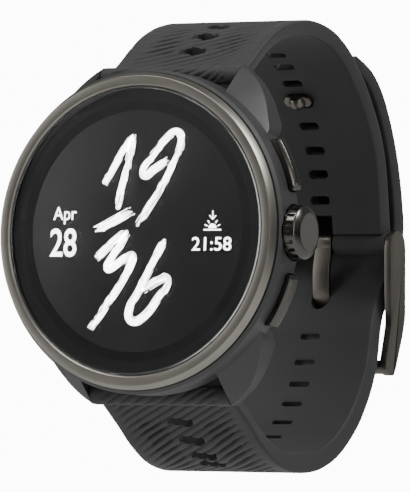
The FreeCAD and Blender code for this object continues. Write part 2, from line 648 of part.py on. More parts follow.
def make_tail():
    """The free end of the lower strap with the peg that fastens it to the upper strap."""
    half = size("tail_half")
    band = strap_band(TAIL_LINE, -1, half)
    place = UPPER_SLOTS[PEG_SLOT]
    up = normal_at(UPPER_LINE, 1, place)
    middle = Vector(0, place[0], place[1])
    bore = Part.makeCylinder(0.95, 8, middle + up * 2.6, up)
    strap_feature("strap_tail", band.cut(bore))
    shank = Part.makeCylinder(0.9, 6.4, middle - up * 0.4, up)
    flange = Part.makeBox(4.4, 1.8, 0.6, Vector(-2.2, -0.9, -0.7))
    flange = flange.makeFillet(0.85, [edge for edge in flange.Edges if abs(edge.Length - 0.6) < 0.01])
    knob = Part.makeSphere(1.25, Vector(0, 0, -0.55), Vector(0, 0, 1), -90, 90, 360)
    knob = knob.common(Part.makeBox(4, 1.8, 4, Vector(-2, -0.9, -4.5)))
    head = flange.fuse([knob])
    head.Placement = strap_frame(UPPER_LINE, 1, place)
    strap_feature("strap_peg", shank.fuse([head]))


# ---------------------------------------------------------------- spring bars

def make_spring_bar(name, sign):
    """A quick-release bar: a tube, a fixed tip, and a sprung tip that its knob pulls back."""
    back = "-bar_height"
    up = sign * size("bar_reach")
    tube = cut(name + "_tube", rod(name + "_tube_outer", "bar_radius", -10.8, 10.8, back, up),
               rod(name + "_tube_inner", "tip_radius + 0.05", 2.0, 11.5, back, up))
    slot = block(name + "_tube_slot", 4.2, 2.2, "bar_height - 1.5", "bar_height + 0.35", across=6.3, up=up)
    keep(cut(name + "_tube_slotted", tube, slot), name + "_bar_tube")
    keep(rod(name + "_fixed_tip", "tip_radius", -12.2, -10.8, back, up), name + "_bar_tip")
    slider = rod(name + "_slider", "tip_radius", 5.5, 12.2, back, up)
    knob = doc.addObject("Part::Cylinder", name + "_knob")
    knob.Radius = 0.55
    knob.Height = 3.1
    direction = Vector(0, math.cos(math.radians(30)), -sign * math.sin(math.radians(30)))
    knob.Placement = Placement(Vector(7.4, -size("bar_height"), up), Rotation(Vector(0, 0, 1), direction))
    keep(fuse(name + "_release", [slider, knob]), name + "_bar_release")


# ---------------------------------------------------------------- buckle

# Side view of a buckle arm, back and up, round from its pivot end to the crossbar end.
ARM_OUTLINE = [(42.7, 1.4), (43.0, 3.0), (44.0, 3.9), (45.6, 4.0), (46.9, 3.3), (47.4, 2.0), (48.0, -8.4),
               (47.4, -11.0), (45.3, -16.6), (44.6, -17.2), (42.9, -16.9), (42.2, -15.7), (43.7, -9.6),
               (43.1, -4.8)]
CROSSBAR_OUTLINE = [(42.2, -15.7), (42.9, -16.9), (44.3, -16.9), (44.6, -16.0), (44.3, -14.9), (42.7, -14.9)]


def make_buckle():
    frame = new_body("buckle_frame")
    arms = new_sketch(frame, "arm_outline", "YZ_Plane", "buckle_inner")
    outline(arms, ARM_OUTLINE)
    arm = pad(frame, arms, "buckle_outer - buckle_inner", "arm_pad")
    mirror = frame.newObject("PartDesign::Mirrored", "both_arms")
    mirror.Originals = [arm]
    plane = next(item for item in frame.Origin.OriginFeatures if item.Role == "YZ_Plane")
    mirror.MirrorPlane = (plane, [""])
    frame.Tip = mirror
    bar = new_sketch(frame, "crossbar_outline", "YZ_Plane", "-buckle_outer + 0.3")
    outline(bar, CROSSBAR_OUTLINE)
    pad(frame, bar, "2 * buckle_outer - 0.6", "crossbar_pad")
    start = Vector(-14, size("buckle_bar_back"), size("buckle_bar_up"))
    drill(frame, "bar_holes", "tip_radius", 28, start, Vector(1, 0, 0))

    back = "buckle_bar_back"
    up = size("buckle_bar_up")
    middle = rod("buckle_bar_middle", 0.75, "-buckle_inner + 0.1", "buckle_inner - 0.1", back, up)
    tips = rod("buckle_bar_tips", "tip_radius", "-buckle_outer + 0.15", "buckle_outer - 0.15", back, up)
    keep(fuse("buckle_bar_body", [middle, tips]), "buckle_bar")


TONGUE_LINE = [(44.0, 1.6), (43.3, -1.5), (43.5, -5.2), (46.0, -9.8), (45.35, -13.6), (45.2, -17.2)]
TONGUE_THICK = 0.9


def make_tongue():
    """A flat bent tongue with an eye that turns on the buckle's bar."""
    half = size("tongue_half")
    near = []
    far = []
    for k, (back, up) in enumerate(TONGUE_LINE):
        before = TONGUE_LINE[max(k - 1, 0)]
        after = TONGUE_LINE[min(k + 1, len(TONGUE_LINE) - 1)]
        along = Vector(0, after[0] - before[0], after[1] - before[1]).normalize()
        side = Vector(0, -along.z, along.y) * (TONGUE_THICK / 2)
        near.append(Vector(-half, back, up) + side)
        far.append(Vector(-half, back, up) - side)
    ring = near + far[::-1]
    plate = Part.Face(Part.makePolygon(ring + ring[:1])).extrude(Vector(2 * half, 0, 0))
    place = (size("buckle_bar_back"), size("buckle_bar_up"))
    eye = bar_hub(*place, 1.35, half)
    hole = bar_hub(*place, 0.81, half + 1)
    strap_feature("buckle_tongue", plate.fuse([eye]).cut(hole))


# ---------------------------------------------------------------- build and export

make_case_body()
make_front()
make_inside()
make_back()
make_crown()
make_button("upper", 1)
make_button("lower", -1)
make_upper_strap()
make_lower_strap()
make_tail()
make_spring_bar("upper", 1)
make_spring_bar("lower", -1)
make_buckle()
make_tongue()
doc.recompute()

for item in doc.Objects:
    if "Invalid" in item.State or "Error" in item.State:
        raise RuntimeError(f"{item.Name} failed: {item.State}")

os.makedirs("parts", exist_ok=True)
for item in SUBPARTS:
    shape = item.Shape
    if shape.isNull() or not shape.isValid():
        raise RuntimeError(f"{item.Label} has no valid shape")
    shape.exportStep(os.path.join("parts", item.Label + ".step"))
    box = shape.BoundBox
    print(f"{item.Label}: {len(shape.Solids)} solid(s), {shape.Volume:.1f} mm3, "
          f"x {box.XMin:.2f}..{box.XMax:.2f} y {box.YMin:.2f}..{box.YMax:.2f} z {box.ZMin:.2f}..{box.ZMax:.2f}")
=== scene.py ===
import math
import random

import bmesh
import bpy
from mathutils import Matrix, Vector


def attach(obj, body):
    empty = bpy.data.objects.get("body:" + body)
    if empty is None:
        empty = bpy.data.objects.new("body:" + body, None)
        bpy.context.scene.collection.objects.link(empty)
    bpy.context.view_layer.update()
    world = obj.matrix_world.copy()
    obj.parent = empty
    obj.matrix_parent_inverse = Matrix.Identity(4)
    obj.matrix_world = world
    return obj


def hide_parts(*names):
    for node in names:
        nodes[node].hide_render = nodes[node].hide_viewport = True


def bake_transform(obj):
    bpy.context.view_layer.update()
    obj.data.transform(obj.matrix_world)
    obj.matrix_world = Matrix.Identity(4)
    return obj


# A round sports watch on a rubber strap, buckled into its loop. Metres, in the CAD frame:
# the dial looks along -Y, +X points to the crown and +Z to 12 o'clock.
# A "height" is the distance from the case back towards the dial, so Y = -height.

mm = 0.001
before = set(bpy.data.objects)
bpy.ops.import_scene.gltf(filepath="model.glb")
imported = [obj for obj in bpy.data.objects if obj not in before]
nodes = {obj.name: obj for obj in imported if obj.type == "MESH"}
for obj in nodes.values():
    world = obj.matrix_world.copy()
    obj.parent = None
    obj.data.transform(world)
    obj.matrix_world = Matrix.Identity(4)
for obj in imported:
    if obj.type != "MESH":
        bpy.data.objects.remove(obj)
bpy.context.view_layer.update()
print("frame loaded,", len(nodes), "nodes")


# Helpers for modelling by hand.
def inMm(*values):
    return Vector(values) * mm


def turned(degrees, axis):
    return Matrix.Rotation(math.radians(degrees), 4, axis)


def leaveEdit():
    if bpy.context.object and bpy.context.object.mode == "EDIT":
        bpy.ops.object.mode_set(mode="OBJECT")


def deselectAll():
    leaveEdit()
    bpy.ops.object.select_all(action="DESELECT")


def selectOnly(*pieces):
    deselectAll()
    for piece in pieces:
        piece.select_set(True)
    bpy.context.view_layer.objects.active = pieces[0]


def editOnly(piece):
    selectOnly(piece)
    bpy.ops.object.mode_set(mode="EDIT")


def selectAll():
    bpy.ops.mesh.select_all(action="SELECT")


def choose(piece, kind, test):
    # in edit mode, selects the vertices, edges or faces that pass the test
    bpy.ops.mesh.select_mode(type=kind)
    bpy.ops.mesh.select_all(action="DESELECT")
    mesh = bmesh.from_edit_mesh(piece.data)
    for part in {"VERT": mesh.verts, "EDGE": mesh.edges, "FACE": mesh.faces}[kind]:
        if kind == "VERT":
            corners = [part.co]
        else:
            corners = [vertex.co for vertex in part.verts]
        if test(part, corners):
            part.select_set(True)
    bmesh.update_edit_mesh(piece.data)


def span(ends, axis):
    # how far an edge's two ends lie apart along X, Y or Z
    k = "xyz".index(axis)
    return abs(ends[0][k] - ends[1][k])


def applyModifier(piece, kind, **settings):
    selectOnly(piece)
    modifier = piece.modifiers.new(kind, kind)
    for name, value in settings.items():
        setattr(modifier, name, value)
    bpy.ops.object.modifier_apply(modifier=modifier.name)


def carve(piece, tool, operation="DIFFERENCE"):
    # joins, cuts or keeps with another solid, which is used up
    applyModifier(piece, "BOOLEAN", object=tool, operation=operation, solver="MANIFOLD")
    bpy.data.objects.remove(tool)


def roundEdges(piece, width, segments, angle):
    # rounds every edge sharper than the angle
    applyModifier(piece, "BEVEL", width=width * mm, segments=segments, limit_method="ANGLE",
                  angle_limit=math.radians(angle))


def addObject(name, data):
    piece = bpy.data.objects.new(name, data)
    bpy.context.scene.collection.objects.link(piece)
    return piece


def copyOf(piece):
    # a copy with its own mesh
    twin = piece.copy()
    twin.data = piece.data.copy()
    bpy.context.scene.collection.objects.link(twin)
    return twin


def joinInto(piece, *others):
    selectOnly(piece, *others)
    bpy.ops.object.join()
    return piece


def settle(piece, place=None):
    # moves the piece's place into its mesh, so that its object sits at the origin
    selectOnly(piece)
    if place is not None:
        piece.matrix_world = place
    bpy.ops.object.transform_apply(location=True, rotation=True, scale=True)
    return piece


def faceOutwards(piece):
    editOnly(piece)
    selectAll()
    bpy.ops.mesh.remove_doubles(threshold=0.002 * mm)
    bpy.ops.mesh.delete_loose()
    selectAll()
    bpy.ops.mesh.normals_make_consistent(inside=False)
    leaveEdit()


def smooth(piece, angle=32):
    selectOnly(piece)
    bpy.ops.object.shade_smooth_by_angle(angle=math.radians(angle))


def drawWire(name, points):
    # a closed wire, extruded from point to point and left in edit mode
    deselectAll()
    bpy.ops.mesh.primitive_plane_add(size=mm, location=(0, 0, 0), enter_editmode=True)
    piece = bpy.context.object
    piece.name = name
    bpy.ops.mesh.select_mode(type="VERT")
    bpy.ops.mesh.merge(type="CENTER")
    bpy.ops.transform.translate(value=points[0])
    for here, there in zip(points, points[1:]):
        bpy.ops.mesh.extrude_region_move(TRANSFORM_OT_translate={"value": there - here})
    ends = (points[0], points[-1])
    choose(piece, "VERT", lambda part, corners: any((part.co - end).length < 1e-7 for end in ends))
    bpy.ops.mesh.edge_face_add()
    selectAll()
    return piece


def turnPiece(name, profile, rounding=0.0, about="height", steps=180, segments=3):
    # a turned piece; its closed profile is (radius, height), or (x, radius) about the X axis
    if about == "height":
        points = [inMm(radius, -height, 0) for radius, height in profile]
        axis = (0, 1, 0)
    else:
        points = [inMm(across, radius, 0) for across, radius in profile]
        axis = (1, 0, 0)
    piece = drawWire(name, points)
    if rounding:
        off = 1 if about == "x" else 0
        choose(piece, "VERT", lambda part, corners: abs(part.co[off]) > 1e-6)
        bpy.ops.mesh.bevel(offset=rounding * mm, segments=segments, affect="VERTICES")
    selectAll()
    bpy.ops.mesh.spin(steps=steps, angle=math.tau, center=(0, 0, 0), axis=axis)
    faceOutwards(piece)
    return piece


def extrudeOutline(name, points, direction):
    # a flat outline pulled into a solid
    piece = drawWire(name, points)
    bpy.ops.mesh.edge_face_add()
    bpy.ops.mesh.extrude_region_move(TRANSFORM_OT_translate={"value": direction})
    faceOutwards(piece)
    return piece


def addBlock(name, middle, size):
    deselectAll()
    bpy.ops.mesh.primitive_cube_add(size=1, location=middle, scale=size)
    piece = bpy.context.object
    piece.name = name
    return settle(piece)


def addRod(name, start, end, radius, vertices=64):
    # a round rod between two points
    deselectAll()
    bpy.ops.mesh.primitive_cylinder_add(vertices=vertices, radius=radius, depth=(end - start).length)
    piece = bpy.context.object
    piece.name = name
    turn = (end - start).to_track_quat("Z", "Y").to_matrix().to_4x4()
    return settle(piece, Matrix.Translation((start + end) / 2) @ turn)


def bevelEdges(piece, width, segments, test):
    editOnly(piece)
    choose(piece, "EDGE", test)
    bpy.ops.mesh.bevel(offset=width * mm, segments=segments, affect="EDGES", profile=0.5)
    leaveEdit()


def smoothCurve(name, points, resolution):
    # a flat curve through the points, drawn in its own plane
    curve = bpy.data.curves.new(name, "CURVE")
    curve.dimensions = "2D"
    curve.resolution_u = resolution
    spline = curve.splines.new("BEZIER")
    spline.bezier_points.add(len(points) - 1)
    for knot, place in zip(spline.bezier_points, points):
        knot.co = place
        knot.handle_left_type = "AUTO"
        knot.handle_right_type = "AUTO"
    line = addObject(name, curve)
    bpy.context.view_layer.update()
    return line


def tracePoints(line):
    trace = bpy.data.meshes.new_from_object(line)
    points = [vertex.co.copy() for vertex in trace.vertices]
    bpy.data.meshes.remove(trace)
    return points


# The strap's inner face from the side: back, up and the strap's thickness there, in mm.
upperStrap = {
    "line": [(-0.7, 20.8, 2.0), (2.5, 23.0, 2.0), (5.7, 25.5, 2.0), (9.2, 27.6, 2.1), (15.0, 29.2, 2.4),
             (21.5, 29.6, 2.3), (27.6, 28.1, 2.2), (32.8, 24.5, 2.2), (37.4, 19.7, 2.1), (40.2, 15.4, 2.1),
             (41.7, 11.0, 2.1), (42.5, 6.6, 2.2), (43.1, 3.4, 2.2)],
    "outward": 1,                       # which side of the line is the outside
    "halfWidths": [(0, 10.95), (8, 10.9), (55, 10.35), (75, 10.35)],
    "slots": [(27.45, 28.1), (30.2, 26.6), (32.75, 24.55), (38.15, 18.7), (40.2, 15.4), (41.35, 12.0),
              (42.2, 8.25)],
    "slotSize": (3.6, 1.3),             # across and along the strap
    "openings": [((34.9, 22.4), 0.25, 4.8, 2.7)],   # for the peg: place, shift along, across, along
    "leaves": [(3.1, 26.9), (6.65, 29.1), (10.3, 30.8)],
    "leafTurn": -12,
    "ribs": {"pitch": 1.36, "lean": 0.42, "from": -5, "to": 17.0, "depth": 0.26, "dashes": 0.4},
}
lowerStrap = {
    "line": [(-0.7, -20.8, 2.0), (2.4, -22.7, 2.1), (5.9, -24.9, 2.2), (9.6, -27.2, 2.4), (14.2, -29.0, 2.6),
             (20.6, -29.4, 2.7), (26.7, -28.1, 2.7), (32.0, -25.1, 2.6), (36.7, -20.0, 2.5),
             (39.5, -14.2, 2.4),
             (41.2, -9.6, 2.3), (43.3, -6.0, 2.2), (45.6, -2.4, 2.1), (47.2, 1.0, 2.1), (48.0, 4.6, 2.1),
             (47.6, 7.6, 2.0), (46.7, 11.4, 1.9), (45.2, 15.6, 1.8), (43.1, 19.6, 1.8), (40.6, 23.0, 1.8),
             (38.0, 25.2, 1.7), (35.4, 26.5, 1.5), (33.4, 27.7, 0.9)],
    "outward": -1,
    "halfWidths": [(0, 10.95), (48, 10.9), (57, 10.0), (110, 10.0)],
    "slots": [(40.5, -11.8), (38.9, -15.4), (37.3, -18.7), (35.3, -21.65), (32.6, -24.5), (29.6, -26.7)],
    "slotSize": (3.6, 0.9),
    "openings": [((43.3, -6.1), 0.0, 3.5, 3.7)],    # for the buckle's tongue
    "leaves": [(2.55, -26.9), (6.2, -29.2), (10.0, -30.8), (12.7, -31.9)],
    "leafTurn": 14,
    "ribs": {"pitch": 1.36, "lean": -0.67, "from": -5, "to": 24.0, "depth": 0.3, "dashes": 0.62},
}


def strapLine(name, strap):
    return smoothCurve(name, [inMm(back, up, 0) for back, up, thick in strap["line"]], 24)


def distanceTable(line):
    # (distance along the line, point) all along it, in mm
    points = [point / mm for point in tracePoints(line)]
    table = [(0.0, points[0])]
    for here, there in zip(points, points[1:]):
        table.append((table[-1][0] + (there - here).length, there))
    return table


def distanceAlong(table, back, up):
    return min(table, key=lambda row: (row[1] - Vector((back, up, 0))).length)[0]


def between(stops, at):
    # the value between two stops of a (place, value) list
    if at <= stops[0][0]:
        return stops[0][1]
    for (start, low), (end, high) in zip(stops, stops[1:]):
        if at <= end:
            return low + (high - low) * (at - start) / (end - start)
    return stops[-1][1]


def easeIn(start, end, at):
    share = min(max((at - start) / (end - start), 0.0), 1.0)
    return share * share * (3 - 2 * share)


# The ribs' outline on the strap: places across and along it in mm, each fade from one to the other.
ribField = {"sharpness": 4, "edge": (9.4, 8.6), "dashInner": (3.2, 3.6), "dashOuter": (7.4, 7.0),
            "dashStart": (5.5, 7), "sweep": 3.4, "sweepFrom": 9.5, "sweepWidth": 2.6,
            "sweepFade": (4, 15)}       # the ribs sweep up beside the lug


def ribDepth(along, across, ribs):
    # how deep the moulded ribs cut at a place on the strap's outside, in mm
    lean = ribs["lean"] * across
    if ribs["lean"] > 0:
        sweep = ribField["sweep"] * math.exp((across - ribField["sweepFrom"]) / ribField["sweepWidth"])
        lean += sweep * (1 - easeIn(*ribField["sweepFade"], along))
    phase = (along - lean) / ribs["pitch"]
    valley = (0.5 + 0.5 * math.cos(math.tau * phase)) ** ribField["sharpness"]
    strength = easeIn(*ribField["edge"], abs(across)) * easeIn(ribs["from"] - 1, ribs["from"] + 1, along)
    strength *= easeIn(ribs["to"] + 1.5, ribs["to"] - 1.5, along - 0.25 * lean)
    side = easeIn(*ribField["dashInner"], abs(across)) * easeIn(*ribField["dashOuter"], abs(across))
    side *= easeIn(*ribField["dashStart"], along) * easeIn(ribs["to"] - 1.5, ribs["to"] - 3, along)
    return valley * strength * (ribs["depth"] + side * (ribs["dashes"] - ribs["depth"]))


def slotCutter(along, across, wide, turn=0.0, leaf=False):
    # a cutter square to the flat strap: round-ended, or pointed at two corners like a leaf
    deselectAll()
    bpy.ops.mesh.primitive_cube_add(size=1, scale=inMm(wide, 9, across))
    cutter = settle(bpy.context.object)
    if leaf:
        bevelEdges(cutter, wide * 0.62, 6, lambda part, ends: span(ends, "x") < 1e-7
                   and span(ends, "z") < 1e-7 and ends[0].x * ends[0].z * turn > 0)
    else:
        bevelEdges(cutter, wide * 0.498, 7, lambda part, ends: span(ends, "x") < 1e-7
                   and span(ends, "z") < 1e-7)
    return settle(cutter, Matrix.Translation((along * mm, 0, 0)) @ turned(turn, "Y"))


def cutOff(piece, place, normal):
    # cuts away what lies on the normal's side of a plane, and closes the cut
    editOnly(piece)
    selectAll()
    bpy.ops.mesh.bisect(plane_co=place, plane_no=normal, threshold=1e-7, clear_outer=True, use_fill=True)
    leaveEdit()


def sliceAcross(piece, normal, places):
    # evenly spaced flat cuts, so that the flat strap can bend and take its ribs
    editOnly(piece)
    for place in places:
        selectAll()
        bpy.ops.mesh.bisect(plane_co=place, plane_no=normal, threshold=1e-7)
    leaveEdit()


# The flat blank that each strap is shaped from.
flatStrap = {"thick": 2.2, "half": 11.0, "outerEdge": 0.5, "innerEdge": 0.3, "endCorner": 5.0,
             "leaf": (4.0, 1.7), "holeEdge": 0.12,
             "innerShare": 0.94}        # the inside is a little narrower than the outside


def makeStrap(name, strap, roundEnd=False):
    line = strapLine(name + "Line", strap)
    table = distanceTable(line)
    length = table[-1][0]
    side = strap["outward"]
    thick, half = flatStrap["thick"], flatStrap["half"]
    blank = addBlock(name, inMm(length / 2, side * thick / 2, 0), inMm(length, thick, 2 * half))
    bevelEdges(blank, flatStrap["outerEdge"], 4,
               lambda part, ends: span(ends, "x") > mm and side * ends[0].y > mm)
    bevelEdges(blank, flatStrap["innerEdge"], 3, lambda part, ends: span(ends, "x") > mm
               and abs(ends[0].y) < 1e-6 and abs(ends[0].z) > (half - 0.1) * mm)
    if roundEnd:
        bevelEdges(blank, flatStrap["endCorner"], 8, lambda part, ends: span(ends, "y") > mm
                   and min(ends[0].x, ends[1].x) > (length - 0.01) * mm)
    cutters = [slotCutter(distanceAlong(table, *place), *strap["slotSize"]) for place in strap["slots"]]
    for place, shift, across, along in strap["openings"]:
        cutters.append(slotCutter(distanceAlong(table, *place) + shift, across, along))
    for place in strap["leaves"]:
        along = distanceAlong(table, *place)
        cutters.append(slotCutter(along, *flatStrap["leaf"], strap["leafTurn"], leaf=True))
    carve(blank, joinInto(*cutters))
    roundEdges(blank, flatStrap["holeEdge"], 2, 50)

    ribs = strap["ribs"]
    step = ribs["pitch"] / 8            # eight cuts to a rib
    last = ribs["to"] + 11 * abs(ribs["lean"])
    first = -11 * abs(ribs["lean"])
    sliceAcross(blank, (1, 0, -ribs["lean"]),
                [inMm(first + step * k, 0, 0) for k in range(int((last - first) / step))])
    sliceAcross(blank, (1, 0, 0), [inMm(at, 0, 0) for at in range(int(ribs["to"]), int(length) + 1)])
    sliceAcross(blank, (0, 0, 1), [inMm(0, 0, 0.5 * k) for k in range(-21, 22)])

    thickStops = [(distanceAlong(table, back, up), depth) for back, up, depth in strap["line"]]
    for vertex in blank.data.vertices:
        along, out, across = vertex.co / mm
        share = min(max(side * out / thick, 0.0), 1.0)          # 0 on the inside, 1 on the outside
        depth = share * between(thickStops, along)
        across *= between(strap["halfWidths"], along) / half
        across *= flatStrap["innerShare"] + (1 - flatStrap["innerShare"]) * share
        if share > 0.99:
            depth -= ribDepth(along, across, ribs)
        vertex.co = inMm(along, side * depth, across)
    applyModifier(blank, "CURVE", object=line, deform_axis="POS_X")
    bpy.data.objects.remove(line)
    settle(blank, Matrix(((0, 0, 1, 0), (1, 0, 0, 0), (0, 1, 0, 0), (0, 0, 0, 1))))
    return blank


# The rolled end round each spring bar, with a window for the quick-release knob.
hub = {"back": -1.5, "reach": 21.9, "radius": 1.75, "bore": 0.95, "halfWidth": 11.05, "window": (4.0, 8.6),
       "windowTurn": 30, "nose": (-1.8, 19.4), "noseSize": (21.9, 2.2, 5),
       "ribStart": math.radians(55),         # where the strap's outside meets the roll, from the front
       "caseSide": 20.55}                    # the round that the rolled end is shaped to


def addHub(piece, side):
    def rolled(reach, radius):
        middle = (hub["back"], side * hub["reach"])
        return addRod("rod", inMm(-reach, *middle), inMm(reach, *middle), radius * mm)
    roll = rolled(hub["halfWidth"], hub["radius"])
    bevelEdges(roll, 0.15, 3, lambda part, ends: span(ends, "x") < 1e-6 and part.is_manifold)
    sliceAcross(roll, (1, 0, 0), [inMm(0.35 * k, 0, 0) for k in range(-31, 32)])
    ribs = (upperStrap if side > 0 else lowerStrap)["ribs"]
    for vertex in roll.data.vertices:       # the ribs run on round the roll's front
        across, back, up = vertex.co / mm
        back, up = back - hub["back"], side * up - hub["reach"]
        turn = math.atan2(up, -back) - hub["ribStart"]
        if abs(turn) < 1.3 and math.hypot(back, up) > hub["radius"] - 0.01:
            share = 1 - ribDepth(turn * hub["radius"], across, ribs) / hub["radius"]
            vertex.co.y = (hub["back"] + back * share) * mm
            vertex.co.z = side * (hub["reach"] + up * share) * mm
    carve(piece, roll, "UNION")
    noseBack, noseUp = hub["nose"]
    nose = addBlock("nose", inMm(0, noseBack, noseUp * side), inMm(*hub["noseSize"]))
    carve(nose, addRod("caseSide", inMm(0, 2, 0), inMm(0, -6, 0), hub["caseSide"] * mm, 128))
    carve(piece, nose, "UNION")
    carve(piece, rolled(hub["halfWidth"] + 1, hub["bore"]))
    low, high = hub["window"]
    window = addBlock("window", inMm((low + high) / 2, 3, 0), inMm(high - low, 6, 2))
    bevelEdges(window, 0.5, 4, lambda part, ends: span(ends, "y") > mm)
    settle(window, Matrix.Translation(inMm(0, hub["back"], side * hub["reach"]))
           @ turned(-hub["windowTurn"] * side, "X"))
    carve(piece, window)


upperPiece = makeStrap("upperStrap", upperStrap)
addHub(upperPiece, 1)
# The loop that the buckle's bar runs through, and the notch for the tongue's eye: back and up.
buckleEnd = {"bar": (44.6, 2.2), "radius": 1.6, "bore": 0.82, "halfWidth": 10.35, "boreReach": 12,
             "notch": (44.75, 3.1), "notchSize": (3.6, 6.5, 6.2)}


def barRod(name, reach, radius):
    ends = [inMm(across, *buckleEnd["bar"]) for across in (-reach, reach)]
    return addRod(name, *ends, radius * mm)


carve(upperPiece, barRod("loop", buckleEnd["halfWidth"], buckleEnd["radius"]), "UNION")
carve(upperPiece, barRod("bore", buckleEnd["boreReach"], buckleEnd["bore"]))
carve(upperPiece, addBlock("notch", inMm(0, *buckleEnd["notch"]), inMm(*buckleEnd["notchSize"])))
smooth(upperPiece)
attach(upperPiece, "case")
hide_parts("upper_strap")
print("upper strap", len(upperPiece.data.polygons))

lowerPiece = makeStrap("lowerStrap", lowerStrap, roundEnd=True)
addHub(lowerPiece, -1)
smooth(lowerPiece)
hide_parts("lower_strap", "strap_tail")
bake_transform(lowerPiece)
print("lower strap", len(lowerPiece.data.polygons))

# The peg moulded into the strap's free end: a round knob on a flat foot, through the upper strap.
peg = {"place": (34.9, 22.4), "shank": 0.9, "length": 5.6, "foot": (4.4, 1.8, 0.6), "footUp": -0.4,
       "knob": 1.25, "knobUp": -0.55,
       "trimUp": -2.5, "trim": (4, 1.8, 4)}       # the knob is cut flat on two sides


def makePeg():
    line = strapLine("pegLine", upperStrap)
    points = [point / mm for point in tracePoints(line)]
    near = min(range(1, len(points) - 1), key=lambda k: (points[k] - Vector((*peg["place"], 0))).length)
    along = (points[near + 1] - points[near - 1]).normalized()
    bpy.data.objects.remove(line)
    out = Vector((0, -along.y, along.x))
    middle = inMm(0, *peg["place"])
    frameTurn = Matrix((Vector((1, 0, 0)), Vector((0, along.x, along.y)), out)).transposed().to_4x4()
    shank = addRod("peg", middle - out * 0.5 * mm, middle + out * peg["length"] * mm, peg["shank"] * mm)
    foot = addBlock("foot", inMm(0, 0, peg["footUp"]), inMm(*peg["foot"]))
    bevelEdges(foot, 0.85, 8, lambda part, ends: span(ends, "z") > 0.1 * mm)
    bevelEdges(foot, 0.15, 3, lambda part, ends: max(ends[0].z, ends[1].z) < -0.69 * mm)
    deselectAll()
    bpy.ops.mesh.primitive_uv_sphere_add(segments=64, ring_count=32, radius=peg["knob"] * mm,
                                         location=inMm(0, 0, peg["knobUp"]))
    knob = settle(bpy.context.object)
    carve(knob, addBlock("trim", inMm(0, 0, peg["trimUp"]), inMm(*peg["trim"])), "INTERSECT")
    carve(foot, knob, "UNION")
    settle(foot, Matrix.Translation(middle) @ frameTurn)
    carve(shank, foot, "UNION")
    shank.name = "pegKnob"
    return shank


pegPiece = makePeg()
smooth(pegPiece, 40)
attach(pegPiece, "tail")
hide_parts("strap_peg")
print("peg")


# The case: a turned cup with four lugs. The wall and the hollow are (radius, height).
case = {"wall": [(0, 3.0), (20.3, 3.0), (21.5, 3.7), (22.3, 4.5), (22.5, 5.0), (22.5, 9.45), (22.1, 9.9),
                 (0, 9.9)],
        "hollow": [(0, -1.0), (20.35, -1.0), (20.35, 3.0), (19.2, 3.0), (19.2, 9.1), (17.9, 9.1), (17.9, 9.7),
                   (19.98, 9.7), (19.98, 12.0), (0, 12.0)],
        "shoulder": 9.9, "controlHeight": 5.7, "controlTurn": 24.5,
        "crownRecess": 3.95, "crownBore": 1.7, "boreEnds": (18, 23), "recessEnds": (21.35, 26),
        "seatOut": 23.4, "seatSize": (5.2, 2.44, 7.94), "seatEdge": 0.35, "stemBore": 0.76,
        "barHole": 0.56, "barReach": 12.35,
        # one lug from the front: inner flank, round the tip, back down the case side
        "lug": [(11.15, 12.0), (11.15, 23.6), (14.0, 22.4), (15.4, 21.1), (17.0, 18.6), (18.7, 14.0),
                (17.2, 11.0)],
        "lugBack": 0.2, "lugDraw": 1.5,                           # the rear is drawn in towards the strap
        "coneTop": 19.8, "coneFall": 1.243, "coneEdge": 30,       # the lugs' front faces lie on this cone
        "heelStart": (3.1, 12.5), "heelEnd": (0.1, 19.6),         # the sloping heel: height and reach
        "tipEdge": 0.9, "lugEdge": 0.3, "lugOuter": 13}


def makeLug():
    outline = [inMm(across, -case["lugBack"], up) for across, up in case["lug"]]
    lug = extrudeOutline("lug", outline, inMm(0, case["lugBack"] - case["shoulder"] + 0.03, 0))
    editOnly(lug)
    choose(lug, "VERT", lambda part, corners: part.co.y > -mm and part.co.x > case["lugOuter"] * mm)
    bpy.ops.transform.translate(value=inMm(-case["lugDraw"], 0, 0))
    leaveEdit()
    bevelEdges(lug, case["tipEdge"], 4,
               lambda part, ends: span(ends, "y") > mm and max(ends[0].x, ends[1].x) > case["lugOuter"] * mm)
    (nearBack, nearUp), (farBack, farUp) = case["heelStart"], case["heelEnd"]
    cutOff(lug, inMm(0, -nearBack, nearUp), (0, farUp - nearUp, farBack - nearBack))
    edge, top = case["coneEdge"], case["shoulder"] - 0.03
    outerLow = case["shoulder"] - case["coneFall"] * (edge - case["coneTop"])
    slope = [(0, top), (case["coneTop"], top), (edge, outerLow), (edge, -5), (0, -5)]
    cone = turnPiece("cone", slope, steps=192)
    carve(lug, cone, "INTERSECT")
    roundEdges(lug, case["lugEdge"], 4, 35)
    return lug


def mirrored(piece, scale):
    # a mirrored copy that faces outwards
    twin = copyOf(piece)
    settle(twin, Matrix.Diagonal((*scale, 1)))
    editOnly(twin)
    selectAll()
    bpy.ops.mesh.normals_make_consistent(inside=False)
    leaveEdit()
    return twin


